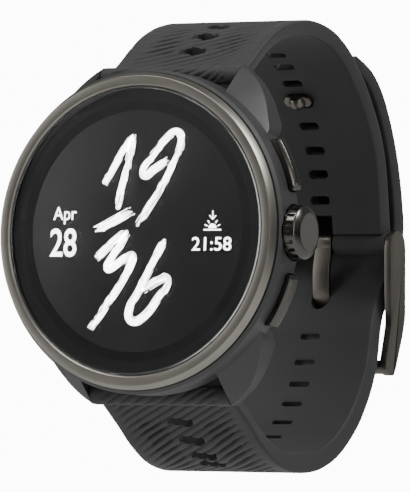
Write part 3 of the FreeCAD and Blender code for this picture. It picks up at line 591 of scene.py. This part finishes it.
def makeCase():
    body = turnPiece("caseBody", case["wall"])
    lug = makeLug()
    for scale in ((-1, 1, 1), (1, 1, -1), (-1, 1, -1)):
        carve(body, mirrored(lug, scale), "UNION")
    carve(body, lug, "UNION")
    carve(body, turnPiece("hollow", case["hollow"]))

    def drill(name, ends, radius, vertices=64):
        start, end = [inMm(across, -case["controlHeight"], 0) for across in ends]
        return addRod(name, start, end, radius * mm, vertices)

    carve(body, drill("crownRecess", case["recessEnds"], case["crownRecess"], 96))
    carve(body, drill("crownBore", case["boreEnds"], case["crownBore"]))
    for sign in (1, -1):
        turn = turned(-case["controlTurn"] * sign, "Y")
        seatPlace = inMm(case["seatOut"], -case["controlHeight"], 0)
        seat = addBlock("seat", seatPlace, inMm(*case["seatSize"]))
        bevelEdges(seat, case["seatEdge"], 3, lambda part, ends: span(ends, "x") > mm)
        carve(body, settle(seat, turn))
        carve(body, settle(drill("bore", case["boreEnds"], case["stemBore"]), turn))
        holes = [inMm(across, hub["back"], hub["reach"] * sign)
                 for across in (-case["barReach"], case["barReach"])]
        carve(body, addRod("barHoles", *holes, case["barHole"] * mm, 32))
    return body


casePiece = makeCase()
smooth(casePiece, 30)
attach(casePiece, "case")
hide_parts("case_body")
print("case", len(casePiece.data.polygons))


# The bezel ring, the cover glass and the screen under it, as (radius, height).
front = {"bezel": [(19.98, 9.9), (21.65, 9.9), (21.65, 10.12), (22.0, 10.24), (21.5, 11.33), (21.44, 11.4),
                   (20.24, 11.4), (19.98, 11.12)],
         "glass": [(0, 10.0), (19.5, 10.0), (19.93, 10.0), (19.93, 11.1), (19.73, 11.3), (19.5, 11.3),
                   (0, 11.3)],
         "panel": [(0, 9.05), (17.4, 9.05), (17.4, 9.94), (17.36, 9.96), (0, 9.96)],
         "border": [(16.75, 9.96), (19.8, 9.96), (19.8, 9.99), (16.75, 9.99)],
         "bezelEdge": 0.045, "glassEdge": 0.05}

bezelPiece = turnPiece("bezelRing", front["bezel"], rounding=front["bezelEdge"], steps=256, segments=2)
smooth(bezelPiece, 28)
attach(bezelPiece, "case")
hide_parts("bezel")
glassPiece = turnPiece("coverGlass", front["glass"], rounding=front["glassEdge"], steps=256, segments=2)
smooth(glassPiece, 28)
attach(glassPiece, "case")
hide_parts("display_glass")
panelPiece = turnPiece("screenPanel", front["panel"], steps=256)
smooth(panelPiece)
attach(panelPiece, "case")
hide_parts("display_panel")
borderPiece = turnPiece("screenBorder", front["border"], steps=256)
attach(borderPiece, "case")
print("bezel, glass and screen")

# The dial's numbers are dry brush strokes: across and up, in mm, with the stroke's width.
brush = {
    "strokes": [([(-5.4, 6.5), (-3.3, 9.9), (-1.0, 13.4)], 1.0),
                ([(-1.0, 13.4), (-1.6, 9.7), (-2.5, 6.1), (-3.5, 2.5)], 1.1),
                ([(-6.6, 0.0), (-3.5, 1.5), (-0.4, 3.0)], 1.25),
                ([(4.7, 9.8), (2.5, 8.5), (0.9, 7.7), (0.8, 8.4), (2.3, 10.5), (4.2, 12.6), (5.8, 13.6),
                  (6.6, 13.1), (6.6, 11.8), (5.7, 9.7), (4.0, 6.5), (2.0, 3.5), (0.0, 0.5)], 1.05),
                ([(-6.3, -3.8), (-4.0, -1.8), (-1.3, 0.1)], 1.1),
                ([(-1.3, 0.1), (-2.3, -1.6), (-4.2, -4.3), (-4.5, -5.2), (-3.3, -4.8), (-1.3, -3.6),
                  (-0.5, -3.4), (-0.7, -4.5), (-2.3, -7.3), (-4.7, -10.6), (-7.1, -14.0)], 1.1),
                ([(4.6, -1.1), (2.8, -4.3), (0.6, -8.3), (-0.7, -10.6), (-0.8, -11.9), (0.0, -12.5),
                  (1.6, -11.8), (3.7, -9.4), (5.2, -7.1), (5.1, -6.5), (4.0, -6.7), (1.6, -8.1),
                  (1.0, -8.5)], 1.1)],
    "hairs": 13, "step": 0.24, "height": 9.985, "thick": 0.004,
    "hairOverlap": 1.1, "wander": 0.02, "gap": (2, 8),               # the length of a dry gap, in steps
}


def smoothPath(points, step):
    # evenly spaced places and directions along a smooth line through the points
    holder = smoothCurve("stroke", [(across, up, 0) for across, up in points], 32)
    knots = tracePoints(holder)
    bpy.data.objects.remove(holder)
    path = []
    walked = 0.0
    for here, there in zip(knots, knots[1:]):
        walked += (there - here).length
        if walked >= step * len(path):
            path.append((here, (there - here).normalized()))
    return path


def makeBrushNumbers():
    # each stroke is a bundle of hairs; the outer hairs and the ends run dry and leave gaps
    chance = random.Random(19)
    mesh = bmesh.new()
    for points, wide in brush["strokes"]:
        path = smoothPath(points, brush["step"])
        count = brush["hairs"]
        for hair in range(count):
            off = (hair - (count - 1) / 2) / (count - 1) * 2
            gap = 0
            tail = None
            wander = chance.uniform(-brush["wander"], brush["wander"])
            start = int(chance.uniform(0, 2 + 5 * abs(off)))
            end = len(path) - 1 - int(chance.uniform(0, 3 + 7 * abs(off)))
            for k in range(start, end):
                if gap > 0:
                    gap -= 1
                    tail = None
                    continue
                dry = 0.008 + 0.16 * max(0.0, abs(off) - 0.5) + 0.05 * (k > 0.72 * len(path))
                if chance.random() < dry:
                    gap = chance.randint(*brush["gap"])
                    tail = None
                    continue
                pairs = [] if tail is None else [tail]
                for place, along in (path[k:k + 2] if tail is None else path[k + 1:k + 2]):
                    normal = Vector((-along.y, along.x, 0))
                    hairWide = wide / count * brush["hairOverlap"]
                    spots = [place + normal * (off * wide / 2 + wander + edge * hairWide)
                             for edge in (-0.5, 0.5)]
                    pairs.append([mesh.verts.new(inMm(spot.x, -brush["height"], spot.y))
                                  for spot in spots])
                mesh.faces.new([*pairs[0], *pairs[1][::-1]])
                tail = pairs[1]
    data = bpy.data.meshes.new("brushNumbers")
    mesh.to_mesh(data)
    mesh.free()
    piece = addObject("brushNumbers", data)
    applyModifier(piece, "SOLIDIFY", thickness=brush["thick"] * mm, offset=0)
    return piece


def addText(name, words, left, bottom, width, height, weight=0.0):
    # plain numbers, sized to a box on the dial
    deselectAll()
    bpy.ops.object.text_add()
    piece = bpy.context.object
    piece.name = name
    piece.data.body = words
    piece.data.offset = weight
    piece.data.resolution_u = 6
    bpy.ops.object.convert(target="MESH")
    low = Vector([min(vertex.co[k] for vertex in piece.data.vertices) for k in range(3)])
    high = Vector([max(vertex.co[k] for vertex in piece.data.vertices) for k in range(3)])
    scale = Vector((width / (high.x - low.x), height / (high.y - low.y), 1)) * mm
    grow = Matrix.Diagonal((*scale, 1)) @ Matrix.Translation(-low)
    stand = Matrix.Translation(inMm(left, -brush["height"], bottom)) @ turned(90, "X")
    settle(piece, stand @ grow)
    applyModifier(piece, "SOLIDIFY", thickness=brush["thick"] * mm, offset=0)
    return piece


# A half sun on a line, its rays, and an arrow pointing down at it, in mm from the sun's middle.
icon = {"middle": (12.0, 0.32), "sun": 0.62, "rays": (22, 56, 124, 158), "rayReach": 1.08,
        "raySize": (0.42, 0.13),
        # each bar: across, up, length, width and turn in degrees
        "bars": [(0, -0.22, 2.7, 0.18, 0), (0, 1.85, 0.14, 1.1, 0), (-0.25, 1.5, 0.72, 0.13, -45),
                 (0.25, 1.5, 0.72, 0.13, 45)]}


def makeSunIcon():
    across, up = icon["middle"]
    deselectAll()
    bpy.ops.mesh.primitive_cylinder_add(vertices=64, radius=icon["sun"] * mm, depth=brush["thick"] * mm)
    sun = settle(bpy.context.object, Matrix.Translation(inMm(across, -brush["height"], up))
                 @ turned(90, "X"))
    cutOff(sun, inMm(0, 0, up), (0, 0, -1))
    bars = list(icon["bars"])
    for angle in icon["rays"]:
        out = Vector((math.cos(math.radians(angle)), math.sin(math.radians(angle)))) * icon["rayReach"]
        bars.append((*out, *icon["raySize"], angle))
    for aside, above, long, wide, angle in bars:
        bar = addBlock("bar", (0, 0, 0), inMm(long, brush["thick"], wide))
        place = Matrix.Translation(inMm(across + aside, -brush["height"], up + above))
        joinInto(sun, settle(bar, place @ turned(-angle, "Y")))
    sun.name = "sunsetIcon"
    return sun


numbersPiece = makeBrushNumbers()
textPieces = [addText("monthWord", "Apr", -13.4, 1.0, 3.7, 2.4),
              addText("dayNumber", "28", -13.8, -3.55, 4.2, 3.95, 0.012),
              addText("clockNumbers", "21:58", 8.85, -2.75, 6.2, 1.85, 0.004), makeSunIcon()]
for piece in [numbersPiece] + textPieces:
    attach(piece, "case")
print("dial numbers")


# The crown turns about the X axis: its profile is (x, radius).
crown = {"profile": [(21.8, 1.05), (21.8, 3.35), (22.1, 3.7), (22.5, 3.7), (23.75, 3.7), (23.95, 3.62),
                     (24.15, 3.4), (24.42, 2.84), (24.47, 2.74), (24.5, 2.68), (24.5, 2.5), (24.5, 0),
                     (22.8, 0), (22.8, 1.05)],
         "teeth": 18, "gapShare": 0.4, "gapDepth": 0.3, "band": (22.49, 23.76), "bandRadius": 3.5,
         "edge": 0.06}


def makeCrown():
    knob = turnPiece("crownKnob", crown["profile"], about="x", steps=180)
    turnOfTooth = math.tau / crown["teeth"]
    low, high = crown["band"]

    def inGap(part, corners):
        middle = sum(corners, Vector()) / len(corners)
        share = (math.atan2(middle.z, middle.y) % turnOfTooth) / turnOfTooth
        onBand = low < middle.x / mm < high and math.hypot(middle.y, middle.z) > crown["bandRadius"] * mm
        return onBand and share < crown["gapShare"]

    editOnly(knob)
    choose(knob, "FACE", inGap)
    bpy.ops.mesh.extrude_region_shrink_fatten(TRANSFORM_OT_shrink_fatten={"value": -crown["gapDepth"] * mm})
    leaveEdit()
    roundEdges(knob, crown["edge"], 2, 38)
    settle(knob, Matrix.Translation(inMm(0, -case["controlHeight"], 0)))
    return knob


crownPiece = makeCrown()
smooth(crownPiece, 30)
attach(crownPiece, "crown")
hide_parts("crown_knob")

button = {"outer": 23.65, "inner": 21.25, "half": 3.85, "width": 2.2, "chamfer": 0.5, "frontFrom": 23.2,
          "edge": 0.06, "stem": (16.1, 21.6), "stemRadius": 0.7}


def makeButton():
    reach = math.asin(button["half"] / button["outer"])
    low = -(case["controlHeight"] - button["width"] / 2)
    outline = [inMm(button["inner"], low, -button["half"])]
    for k in range(33):
        angle = reach * (k / 16 - 1)
        outline.append(inMm(button["outer"] * math.cos(angle), low, button["outer"] * math.sin(angle)))
    outline.append(inMm(button["inner"], low, button["half"]))
    cap = extrudeOutline("buttonCap", outline, inMm(0, -button["width"], 0))
    front = button["frontFrom"] * mm
    bevelEdges(cap, button["chamfer"], 1, lambda part, ends: min(ends[0].x, ends[1].x) > front
               and part.calc_face_angle() > math.radians(60))
    roundEdges(cap, button["edge"], 2, 30)
    stem = [inMm(across, -case["controlHeight"], 0) for across in button["stem"]]
    return joinInto(cap, addRod("stem", *stem, button["stemRadius"] * mm, 48))


firstButton = makeButton()
for label, sign in (("upper", 1), ("lower", -1)):
    cap = copyOf(firstButton)
    cap.name = label + "Button"
    settle(cap, turned(-case["controlTurn"] * sign, "Y"))
    smooth(cap, 24)
    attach(cap, label + "_button")
    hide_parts(label + "_button_cap")
bpy.data.objects.remove(firstButton)
print("crown and buttons")


# The buckle's outlines from the side: back and up.
buckle = {"arm": [(42.7, 1.4), (43.0, 3.0), (44.0, 3.9), (45.6, 4.0), (46.9, 3.3), (47.4, 2.0), (48.0, -8.4),
                  (47.4, -11.0), (45.3, -16.6), (44.6, -17.2), (42.9, -16.9), (42.2, -15.7), (43.7, -9.6),
                  (43.1, -4.8)],
          "crossbar": [(42.2, -15.7), (42.9, -16.9), (44.3, -16.9), (44.6, -16.0), (44.3, -14.9),
                       (42.7, -14.9)],
          "inner": 10.55, "outer": 11.55, "armCorner": 0.7, "armEdge": 0.2, "crossbarCorner": 0.4,
          "crossbarInset": 0.35, "barHole": 0.5, "barHoleEnds": (5, 11.42)}


def makeBuckle():
    outline = [inMm(buckle["inner"], back, up) for back, up in buckle["arm"]]
    arm = extrudeOutline("buckleFrame", outline, inMm(buckle["outer"] - buckle["inner"], 0, 0))
    bevelEdges(arm, buckle["armCorner"], 4, lambda part, ends: span(ends, "x") > 0.5 * mm)
    roundEdges(arm, buckle["armEdge"], 3, 50)
    holes = [inMm(across, *buckleEnd["bar"]) for across in buckle["barHoleEnds"]]
    carve(arm, addRod("barHoles", *holes, buckle["barHole"] * mm, 32))
    twin = mirrored(arm, (-1, 1, 1))
    reach = buckle["outer"] - buckle["crossbarInset"]
    outline = [inMm(-reach, back, up) for back, up in buckle["crossbar"]]
    crossbar = extrudeOutline("crossbar", outline, inMm(2 * reach, 0, 0))
    bevelEdges(crossbar, buckle["crossbarCorner"], 4, lambda part, ends: span(ends, "x") > mm)
    return joinInto(arm, twin, crossbar)


bucklePiece = makeBuckle()
smooth(bucklePiece, 32)
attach(bucklePiece, "buckle")
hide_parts("buckle_frame")

tongue = {"line": [(44.0, 1.6), (43.3, -1.5), (43.5, -5.2), (46.0, -9.8), (45.35, -13.6), (45.2, -17.2)],
          "thick": 0.9, "half": 1.35, "eye": 1.35, "bore": 0.81, "boreReach": 3, "corner": 0.9, "edge": 0.16,
          "eyeEdge": 0.15, "bendsBelow": 1.2}


def makeTongue():
    near, far = [], []
    line = [Vector(point) for point in tongue["line"]]
    for k, point in enumerate(line):
        along = (line[min(k + 1, len(line) - 1)] - line[max(k - 1, 0)]).normalized()
        off = Vector((-along.y, along.x)) * tongue["thick"] / 2
        near.append(inMm(-tongue["half"], *(point + off)))
        far.append(inMm(-tongue["half"], *(point - off)))
    plate = extrudeOutline("buckleTongue", near + far[::-1], inMm(2 * tongue["half"], 0, 0))
    tip = min(point.z for point in near) + 0.2 * mm
    bevelEdges(plate, tongue["corner"], 4,
               lambda part, ends: span(ends, "x") > mm and tip < ends[0].z < tongue["bendsBelow"] * mm)
    bevelEdges(plate, tongue["corner"], 6, lambda part, ends: span(ends, "x") < 1e-6
               and max(ends[0].z, ends[1].z) < tip and span(ends, "z") < 0.1 * mm)
    roundEdges(plate, tongue["edge"], 3, 50)
    eye = barRod("eye", tongue["half"], tongue["eye"])
    bevelEdges(eye, tongue["eyeEdge"], 3, lambda part, ends: span(ends, "x") < 1e-6)
    carve(plate, eye, "UNION")
    carve(plate, barRod("bore", tongue["boreReach"], tongue["bore"]))
    return plate


tonguePiece = makeTongue()
smooth(tonguePiece, 32)
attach(tonguePiece, "tongue")
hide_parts("buckle_tongue")
print("buckle")


# Materials.
def colour(text):
    # an sRGB hex colour as linear light
    parts = [int(text[k:k + 2], 16) / 255 for k in (1, 3, 5)]
    linear = [part / 12.92 if part <= 0.04045 else ((part + 0.055) / 1.055) ** 2.4 for part in parts]
    return (*linear, 1.0)


def connect(tree, node, links):
    for name, source in links.items():
        tree.links.new(source, node.inputs[name])


def addNode(tree, kind, settings=None, links=None):
    node = tree.nodes.new("ShaderNode" + kind)
    for name, value in (settings or {}).items():
        if hasattr(node, name):
            setattr(node, name, value)
        else:
            node.inputs[name].default_value = value
    connect(tree, node, links or {})
    return node


def newMaterial(name):
    material = bpy.data.materials.new(name)
    material.use_nodes = True
    tree = material.node_tree
    return material, tree, tree.nodes["Principled BSDF"]


def mouldedOrCast(name, dark, light, patch, grain, depth, rough, metallic=0.0, ior=1.5):
    # a solid finish: its colour drifts over `patch` mm, and its grain is `grain` mm wide, `depth` mm deep
    material, tree, shader = newMaterial(name)
    where = addNode(tree, "TexCoord").outputs["Object"]
    patches = addNode(tree, "TexNoise", {"Scale": 1 / (patch * mm), "Detail": 3.0}, {"Vector": where})
    grain = addNode(tree, "TexNoise", {"Scale": 1 / (grain * mm), "Detail": 2.0}, {"Vector": where})
    blend = addNode(tree, "Mix", {"data_type": "FLOAT", "Factor": 0.35},
                    {"A": patches.outputs["Fac"], "B": grain.outputs["Fac"]})
    ramp = addNode(tree, "ValToRGB", {}, {"Fac": blend.outputs["Result"]})
    for stop, position, tone in zip(ramp.color_ramp.elements, (0.3, 0.7), (dark, light)):
        stop.position, stop.color = position, colour(tone)
    gloss = addNode(tree, "MapRange", {"From Min": 0.3, "From Max": 0.7, "To Min": rough[0],
                                           "To Max": rough[1]}, {"Value": blend.outputs["Result"]})
    bump = addNode(tree, "Bump", {"Strength": 1.0, "Distance": depth * mm},
                   {"Height": grain.outputs["Fac"]})
    connect(tree, shader, {"Base Color": ramp.outputs["Color"], "Roughness": gloss.outputs["Result"],
                           "Normal": bump.outputs["Normal"]})
    shader.inputs["Metallic"].default_value = metallic
    if not metallic:
        shader.inputs["IOR"].default_value = ior
    return material


# Silicone rubber, moulded: dull, with a soft bloom where light grazes it and a faint orange-peel skin.
rubber = mouldedOrCast("siliconeRubber", "#1d1d1e", "#232324", patch=6,
    grain=0.25, depth=0.006, rough=(0.6, 0.75), ior=1.41)
rubberShader = rubber.node_tree.nodes["Principled BSDF"]
rubberShader.inputs["Sheen Weight"].default_value = 0.08
rubberShader.inputs["Sheen Roughness"].default_value = 0.5
# Glass-filled nylon, moulded: charcoal, matt, with the fine spark-eroded texture of its tool.
nylon = mouldedOrCast("glassFilledNylon", "#1d1d1e", "#252526", patch=5,
    grain=0.18, depth=0.008, rough=(0.42, 0.56), ior=1.53)
# Stainless steel under a dark vapour coating, polished: warm grey mirror with slight ripple.
polishedSteel = mouldedOrCast("coatedSteelPolished", "#4c4a47", "#5a5854", patch=4,
    grain=0.3, depth=0.001, rough=(0.2, 0.3), metallic=1.0)
# The same steel, tumbled: an even satin with soft highlights along its edges.
satinSteel = mouldedOrCast("coatedSteelSatin", "#5c5953", "#6a665f", patch=5,
    grain=0.12, depth=0.002, rough=(0.34, 0.44), metallic=1.0)
# Bare stainless steel, turned: light grey, for screws, bars and clips.
plainSteel = mouldedOrCast("stainlessSteelTurned", "#9a9a98", "#b4b4b1", patch=2,
    grain=0.1, depth=0.001, rough=(0.25, 0.38), metallic=1.0)
# Gold plating on brass pins: warm, slightly worn.
goldPlate = mouldedOrCast("goldPlatedBrass", "#c9a24a", "#e6c270", patch=0.6,
    grain=0.05, depth=0.001, rough=(0.2, 0.35), metallic=1.0)
# Copper foil, rolled: pink-brown with darker tarnish.
copperFoil = mouldedOrCast("copperFoilRolled", "#8a4b30", "#b97352", patch=1.5,
    grain=0.08, depth=0.001, rough=(0.28, 0.45), metallic=1.0)
# Tinned steel can over the radio parts: soft grey with a crystal bloom.
tinnedSteel = mouldedOrCast("tinnedSteel", "#8f9296", "#b9bcc0", patch=1.2,
    grain=0.15, depth=0.002, rough=(0.3, 0.5), metallic=1.0)
# Aluminium-laminate pouch of the cell: silver grey, lightly wrinkled.
pouchFoil = mouldedOrCast("pouchLaminate", "#9da1a4", "#bfc2c4", patch=2.5,
    grain=0.8, depth=0.02, rough=(0.35, 0.5), metallic=1.0)
# Polycarbonate chassis, moulded black.
blackPlastic = mouldedOrCast("polycarbonateBlack", "#18181a", "#222225", patch=4,
    grain=0.15, depth=0.004, rough=(0.45, 0.6), ior=1.58)
# Epoxy-glass board under green solder mask.
greenBoard = mouldedOrCast("solderMaskBoard", "#0f3d24", "#1a5a35", patch=1.4,
    grain=0.12, depth=0.003, rough=(0.3, 0.42), ior=1.55)
# Black moulding compound of the chips.
chipResin = mouldedOrCast("chipResin", "#1b1b1c", "#29292b", patch=0.8,
    grain=0.06, depth=0.002, rough=(0.5, 0.65), ior=1.55)
# Nitrile rubber seals: deep black, slightly oily.
nitrile = mouldedOrCast("nitrileRubber", "#121212", "#1c1c1c", patch=1.5,
    grain=0.1, depth=0.002, rough=(0.38, 0.5), ior=1.52)
# Polyurethane foam pad: grey with open cells.
foam = mouldedOrCast("polyurethaneFoam", "#3a3b3d", "#55575a", patch=1.0,
    grain=0.2, depth=0.04, rough=(0.85, 0.95))
# Amber polyimide of the flexible circuits.
polyimide = mouldedOrCast("polyimideFilm", "#8a4a12", "#b4691f", patch=1.2,
    grain=0.2, depth=0.001, rough=(0.25, 0.35), ior=1.7)
# Epoxy lens over the light chips: milky with a green cast.
lightChip = mouldedOrCast("lightChipEpoxy", "#b8c9ad", "#dfe8d6", patch=0.4,
    grain=0.05, depth=0.001, rough=(0.2, 0.3))


def brushedRing():
    # Coated steel, brushed round and round: fine circular lines that stretch the highlight.
    material, tree, shader = newMaterial("coatedSteelBrushed")
    where = addNode(tree, "TexCoord").outputs["Object"]
    flat = addNode(tree, "VectorMath", {"operation": "MULTIPLY"}, {0: where})
    flat.inputs[1].default_value = (1, 0, 1)
    radius = addNode(tree, "VectorMath", {"operation": "LENGTH"}, {0: flat.outputs["Vector"]})
    lines = addNode(tree, "TexNoise", {"noise_dimensions": "1D", "Scale": 1 / (0.06 * mm), "Detail": 2.0},
                    {"W": radius.outputs["Value"]})
    drift = addNode(tree, "TexNoise", {"Scale": 1 / (7 * mm)}, {"Vector": where})
    both = addNode(tree, "Mix", {"data_type": "FLOAT", "Factor": 0.5},
                   {"A": lines.outputs["Fac"], "B": drift.outputs["Fac"]})
    ramp = addNode(tree, "ValToRGB", {}, {"Fac": both.outputs["Result"]})
    for stop, position, tone in zip(ramp.color_ramp.elements, (0.35, 0.65), ("#7b7871", "#8a8780")):
        stop.position, stop.color = position, colour(tone)
    gloss = addNode(tree, "MapRange", {"To Min": 0.3, "To Max": 0.46}, {"Value": lines.outputs["Fac"]})
    bump = addNode(tree, "Bump", {"Strength": 0.6, "Distance": 0.002 * mm}, {"Height": lines.outputs["Fac"]})
    connect(tree, shader, {"Base Color": ramp.outputs["Color"], "Roughness": gloss.outputs["Result"],
                           "Normal": bump.outputs["Normal"]})
    shader.inputs["Metallic"].default_value = 1.0
    return material


def toughGlass(name, tint):
    # Aluminosilicate glass, polished: clear, with the faintest smear in its gloss.
    material, tree, shader = newMaterial(name)
    where = addNode(tree, "TexCoord").outputs["Object"]
    smear = addNode(tree, "TexNoise", {"Scale": 1 / (9 * mm), "Detail": 4.0}, {"Vector": where})
    gloss = addNode(tree, "MapRange", {"From Min": 0.35, "From Max": 0.75, "To Min": 0.0, "To Max": 0.04},
                    {"Value": smear.outputs["Fac"]})
    tree.links.new(gloss.outputs["Result"], shader.inputs["Roughness"])
    shader.inputs["Base Color"].default_value = colour(tint)
    shader.inputs["IOR"].default_value = 1.51
    shader.inputs["Transmission Weight"].default_value = 1.0
    return material


def litInk(name, dim, bright, strength, size):
    # Glowing screen ink, a touch uneven from place to place; its glow is partly painted light, standing in
    # for the lamps' light that the cover glass keeps off the screen.
    material, tree, shader = newMaterial(name)
    where = addNode(tree, "TexCoord").outputs["Object"]
    dots = addNode(tree, "TexNoise", {"Scale": 1 / (size * mm), "Detail": 2.0}, {"Vector": where})
    ramp = addNode(tree, "ValToRGB", {}, {"Fac": dots.outputs["Fac"]})
    for stop, position, tone in zip(ramp.color_ramp.elements, (0.3, 0.6), (dim, bright)):
        stop.position, stop.color = position, colour(tone)
    tree.links.new(ramp.outputs["Color"], shader.inputs["Base Color"])
    tree.links.new(ramp.outputs["Color"], shader.inputs["Emission Color"])
    shader.inputs["Emission Strength"].default_value = strength
    shader.inputs["Roughness"].default_value = 0.5
    return material


brushedSteel = brushedRing()
coverGlass = toughGlass("aluminosilicateGlass", "#ffffff")
sensorGlass = toughGlass("smokedSensorGlass", "#4a4d50")
# The dark screen's faint glow is painted light: it lifts the disc, which the cover glass keeps the lamps'
# light from.
screenDarkPaintedGlow = litInk("screenDarkPaintedGlow", "#141414", "#181818", 0.3, 3.0)
# The digits glow as a lit screen's do, and their glow is made brighter with painted light, standing in for
# the lamps' light that the cover glass keeps off them.
screenWhite = litInk("screenWhite", "#d8d8d8", "#ffffff", 7.0, 0.12)
# Black ink printed under the glass round the screen.
blackInk = mouldedOrCast("blackBorderInk", "#060606", "#0a0a0a", patch=3,
    grain=0.2, depth=0.0005, rough=(0.4, 0.5))


def paint(material, *pieces):
    for piece in pieces:
        piece.data.materials.clear()
        piece.data.materials.append(material)
        for face in piece.data.polygons:
            face.material_index = 0


paint(rubber, upperPiece, lowerPiece)
paint(nylon, casePiece)
paint(brushedSteel, bezelPiece)
paint(coverGlass, glassPiece)
paint(screenDarkPaintedGlow, panelPiece)
paint(blackInk, borderPiece)
paint(screenWhite, numbersPiece, *textPieces)
paint(polishedSteel, crownPiece, bpy.data.objects["upperButton"], bpy.data.objects["lowerButton"])
paint(satinSteel, bucklePiece, tonguePiece, pegPiece)

nodeFinishes = [
    (nylon, ["case_back"]),
    (sensorGlass, ["sensor_window"]),
    (greenBoard, ["sensor_board", "main_board", "crown_sensor"]),
    (lightChip, ["sensor_lights"]),
    (nitrile, ["case_back_gasket", "glass_gasket", "crown_o_ring", "upper_button_o_ring",
               "lower_button_o_ring"]),
    (goldPlate, ["charging_contacts"]),
    (foam, ["battery_pad", "vent_membrane"]),
    (plainSteel, ["case_back_screws", "crown_stem", "crown_clip", "crown_bush", "crown_switch", "buckle_bar",
                  "vibration_motor"] + [end + part for end in ("upper", "lower") for part in (
                      "_button_clip", "_button_switch", "_bar_tube", "_bar_tip", "_bar_release")]),
    (blackPlastic, ["inner_chassis", "crown_encoder_wheel", "crown_plunger"]),
    (chipResin, ["board_chips"]),
    (tinnedSteel, ["radio_shield"]),
    (pouchFoil, ["battery"]),
    (polyimide, ["display_flex", "control_flex"]),
    (copperFoil, ["gps_antenna"]),
]
for material, names in nodeFinishes:
    paint(material, *[nodes[name] for name in names])
left = [name for name, node in nodes.items() if not node.hide_render
        and not any(name in names for material, names in nodeFinishes)]
print("materials; CAD nodes without one:", left)


# Camera, floor and lights. The camera's turns are in degrees and its lens in mm.
view = {"place": (0.39898, -0.69208, -0.05195), "around": 29.654, "up": -3.635, "roll": 1.814, "lens": 420.3}

cameraData = bpy.data.cameras.new("camera")
cameraData.lens = view["lens"]
cameraData.sensor_fit = "VERTICAL"
cameraData.sensor_height = 36
cameraData.clip_start = 0.01
camera = addObject("camera", cameraData)
turn = turned(view["around"], "Z") @ turned(90 - view["up"], "X") @ turned(view["roll"], "Z")
camera.matrix_world = Matrix.Translation(view["place"]) @ turn
bpy.context.scene.camera = camera

studio = {"low": 0.03, "high": 0.2, "horizon": (0.045, 0.1), "backdrop": 12.0, "floor": -0.16,
          "floorGlow": 1.6}

# The room is darker below the horizon than above it; the camera itself sees a plain white backdrop.
world = bpy.data.worlds.new("studio")
bpy.context.scene.world = world
world.use_nodes = True
worldTree = world.node_tree
background = worldTree.nodes["Background"]
background.inputs["Color"].default_value = (1, 1, 1, 1)
direction = addNode(worldTree, "TexCoord").outputs["Generated"]
upward = addNode(worldTree, "SeparateXYZ", {}, {"Vector": direction}).outputs["Z"]
room = addNode(worldTree, "MapRange", {
    "interpolation_type": "SMOOTHSTEP", "From Min": studio["horizon"][0], "From Max": studio["horizon"][1],
    "To Min": studio["low"], "To Max": studio["high"]}, {"Value": upward}).outputs["Result"]
seen = addNode(worldTree, "LightPath").outputs["Is Camera Ray"]
level = addNode(worldTree, "Mix", {"data_type": "FLOAT", "B": studio["backdrop"]},
                {"Factor": seen, "A": room})
worldTree.links.new(level.outputs["Result"], background.inputs["Strength"])

deselectAll()
bpy.ops.mesh.primitive_plane_add(size=3, location=(0, 0, studio["floor"]))
floor = bpy.context.object
floor.name = "floor"
floorMaterial, floorTree, floorShader = newMaterial("paleFloor")
floorShader.inputs["Base Color"].default_value = colour("#e9e9e9")
floorShader.inputs["Roughness"].default_value = 0.7
floorShader.inputs["Emission Color"].default_value = colour("#ffffff")
floorSeen = addNode(floorTree, "LightPath").outputs["Is Camera Ray"]
floorGlow = addNode(floorTree, "MapRange", {"To Max": studio["floorGlow"]}, {"Value": floorSeen})
floorTree.links.new(floorGlow.outputs["Result"], floorShader.inputs["Emission Strength"])
paint(floorMaterial, floor)

# Soft boxes: name, place, what it points at, its width and height, and power in watts.
softBoxes = [("overhead", (-0.1, -0.3, 0.55), (0, 0.01, 0), 0.4, 0.3, 3.4),
             ("backRight", (0.36, 0.06, 0.45), (0, 0.02, -0.01), 0.2, 0.25, 3.3),
             ("farRight", (0.3, 0.52, 0.03), (0, 0.045, -0.005), 0.15, 0.3, 0.13),
             ("leftCard", (-0.5, -0.35, 0.1), (0, 0, 0), 0.2, 0.4, 1.2),
             ("rightStrip", (0.42, -0.28, 0.1), (0.02, 0, 0), 0.05, 0.4, 0.5)]
for name, place, target, wide, high, power in softBoxes:
    light = bpy.data.lights.new(name, "AREA")
    light.shape = "RECTANGLE"
    light.size = wide
    light.size_y = high
    light.energy = power
    lamp = addObject(name, light)
    aim = (Vector(target) - Vector(place)).to_track_quat("-Z", "Y").to_matrix().to_4x4()
    lamp.matrix_world = Matrix.Translation(place) @ aim
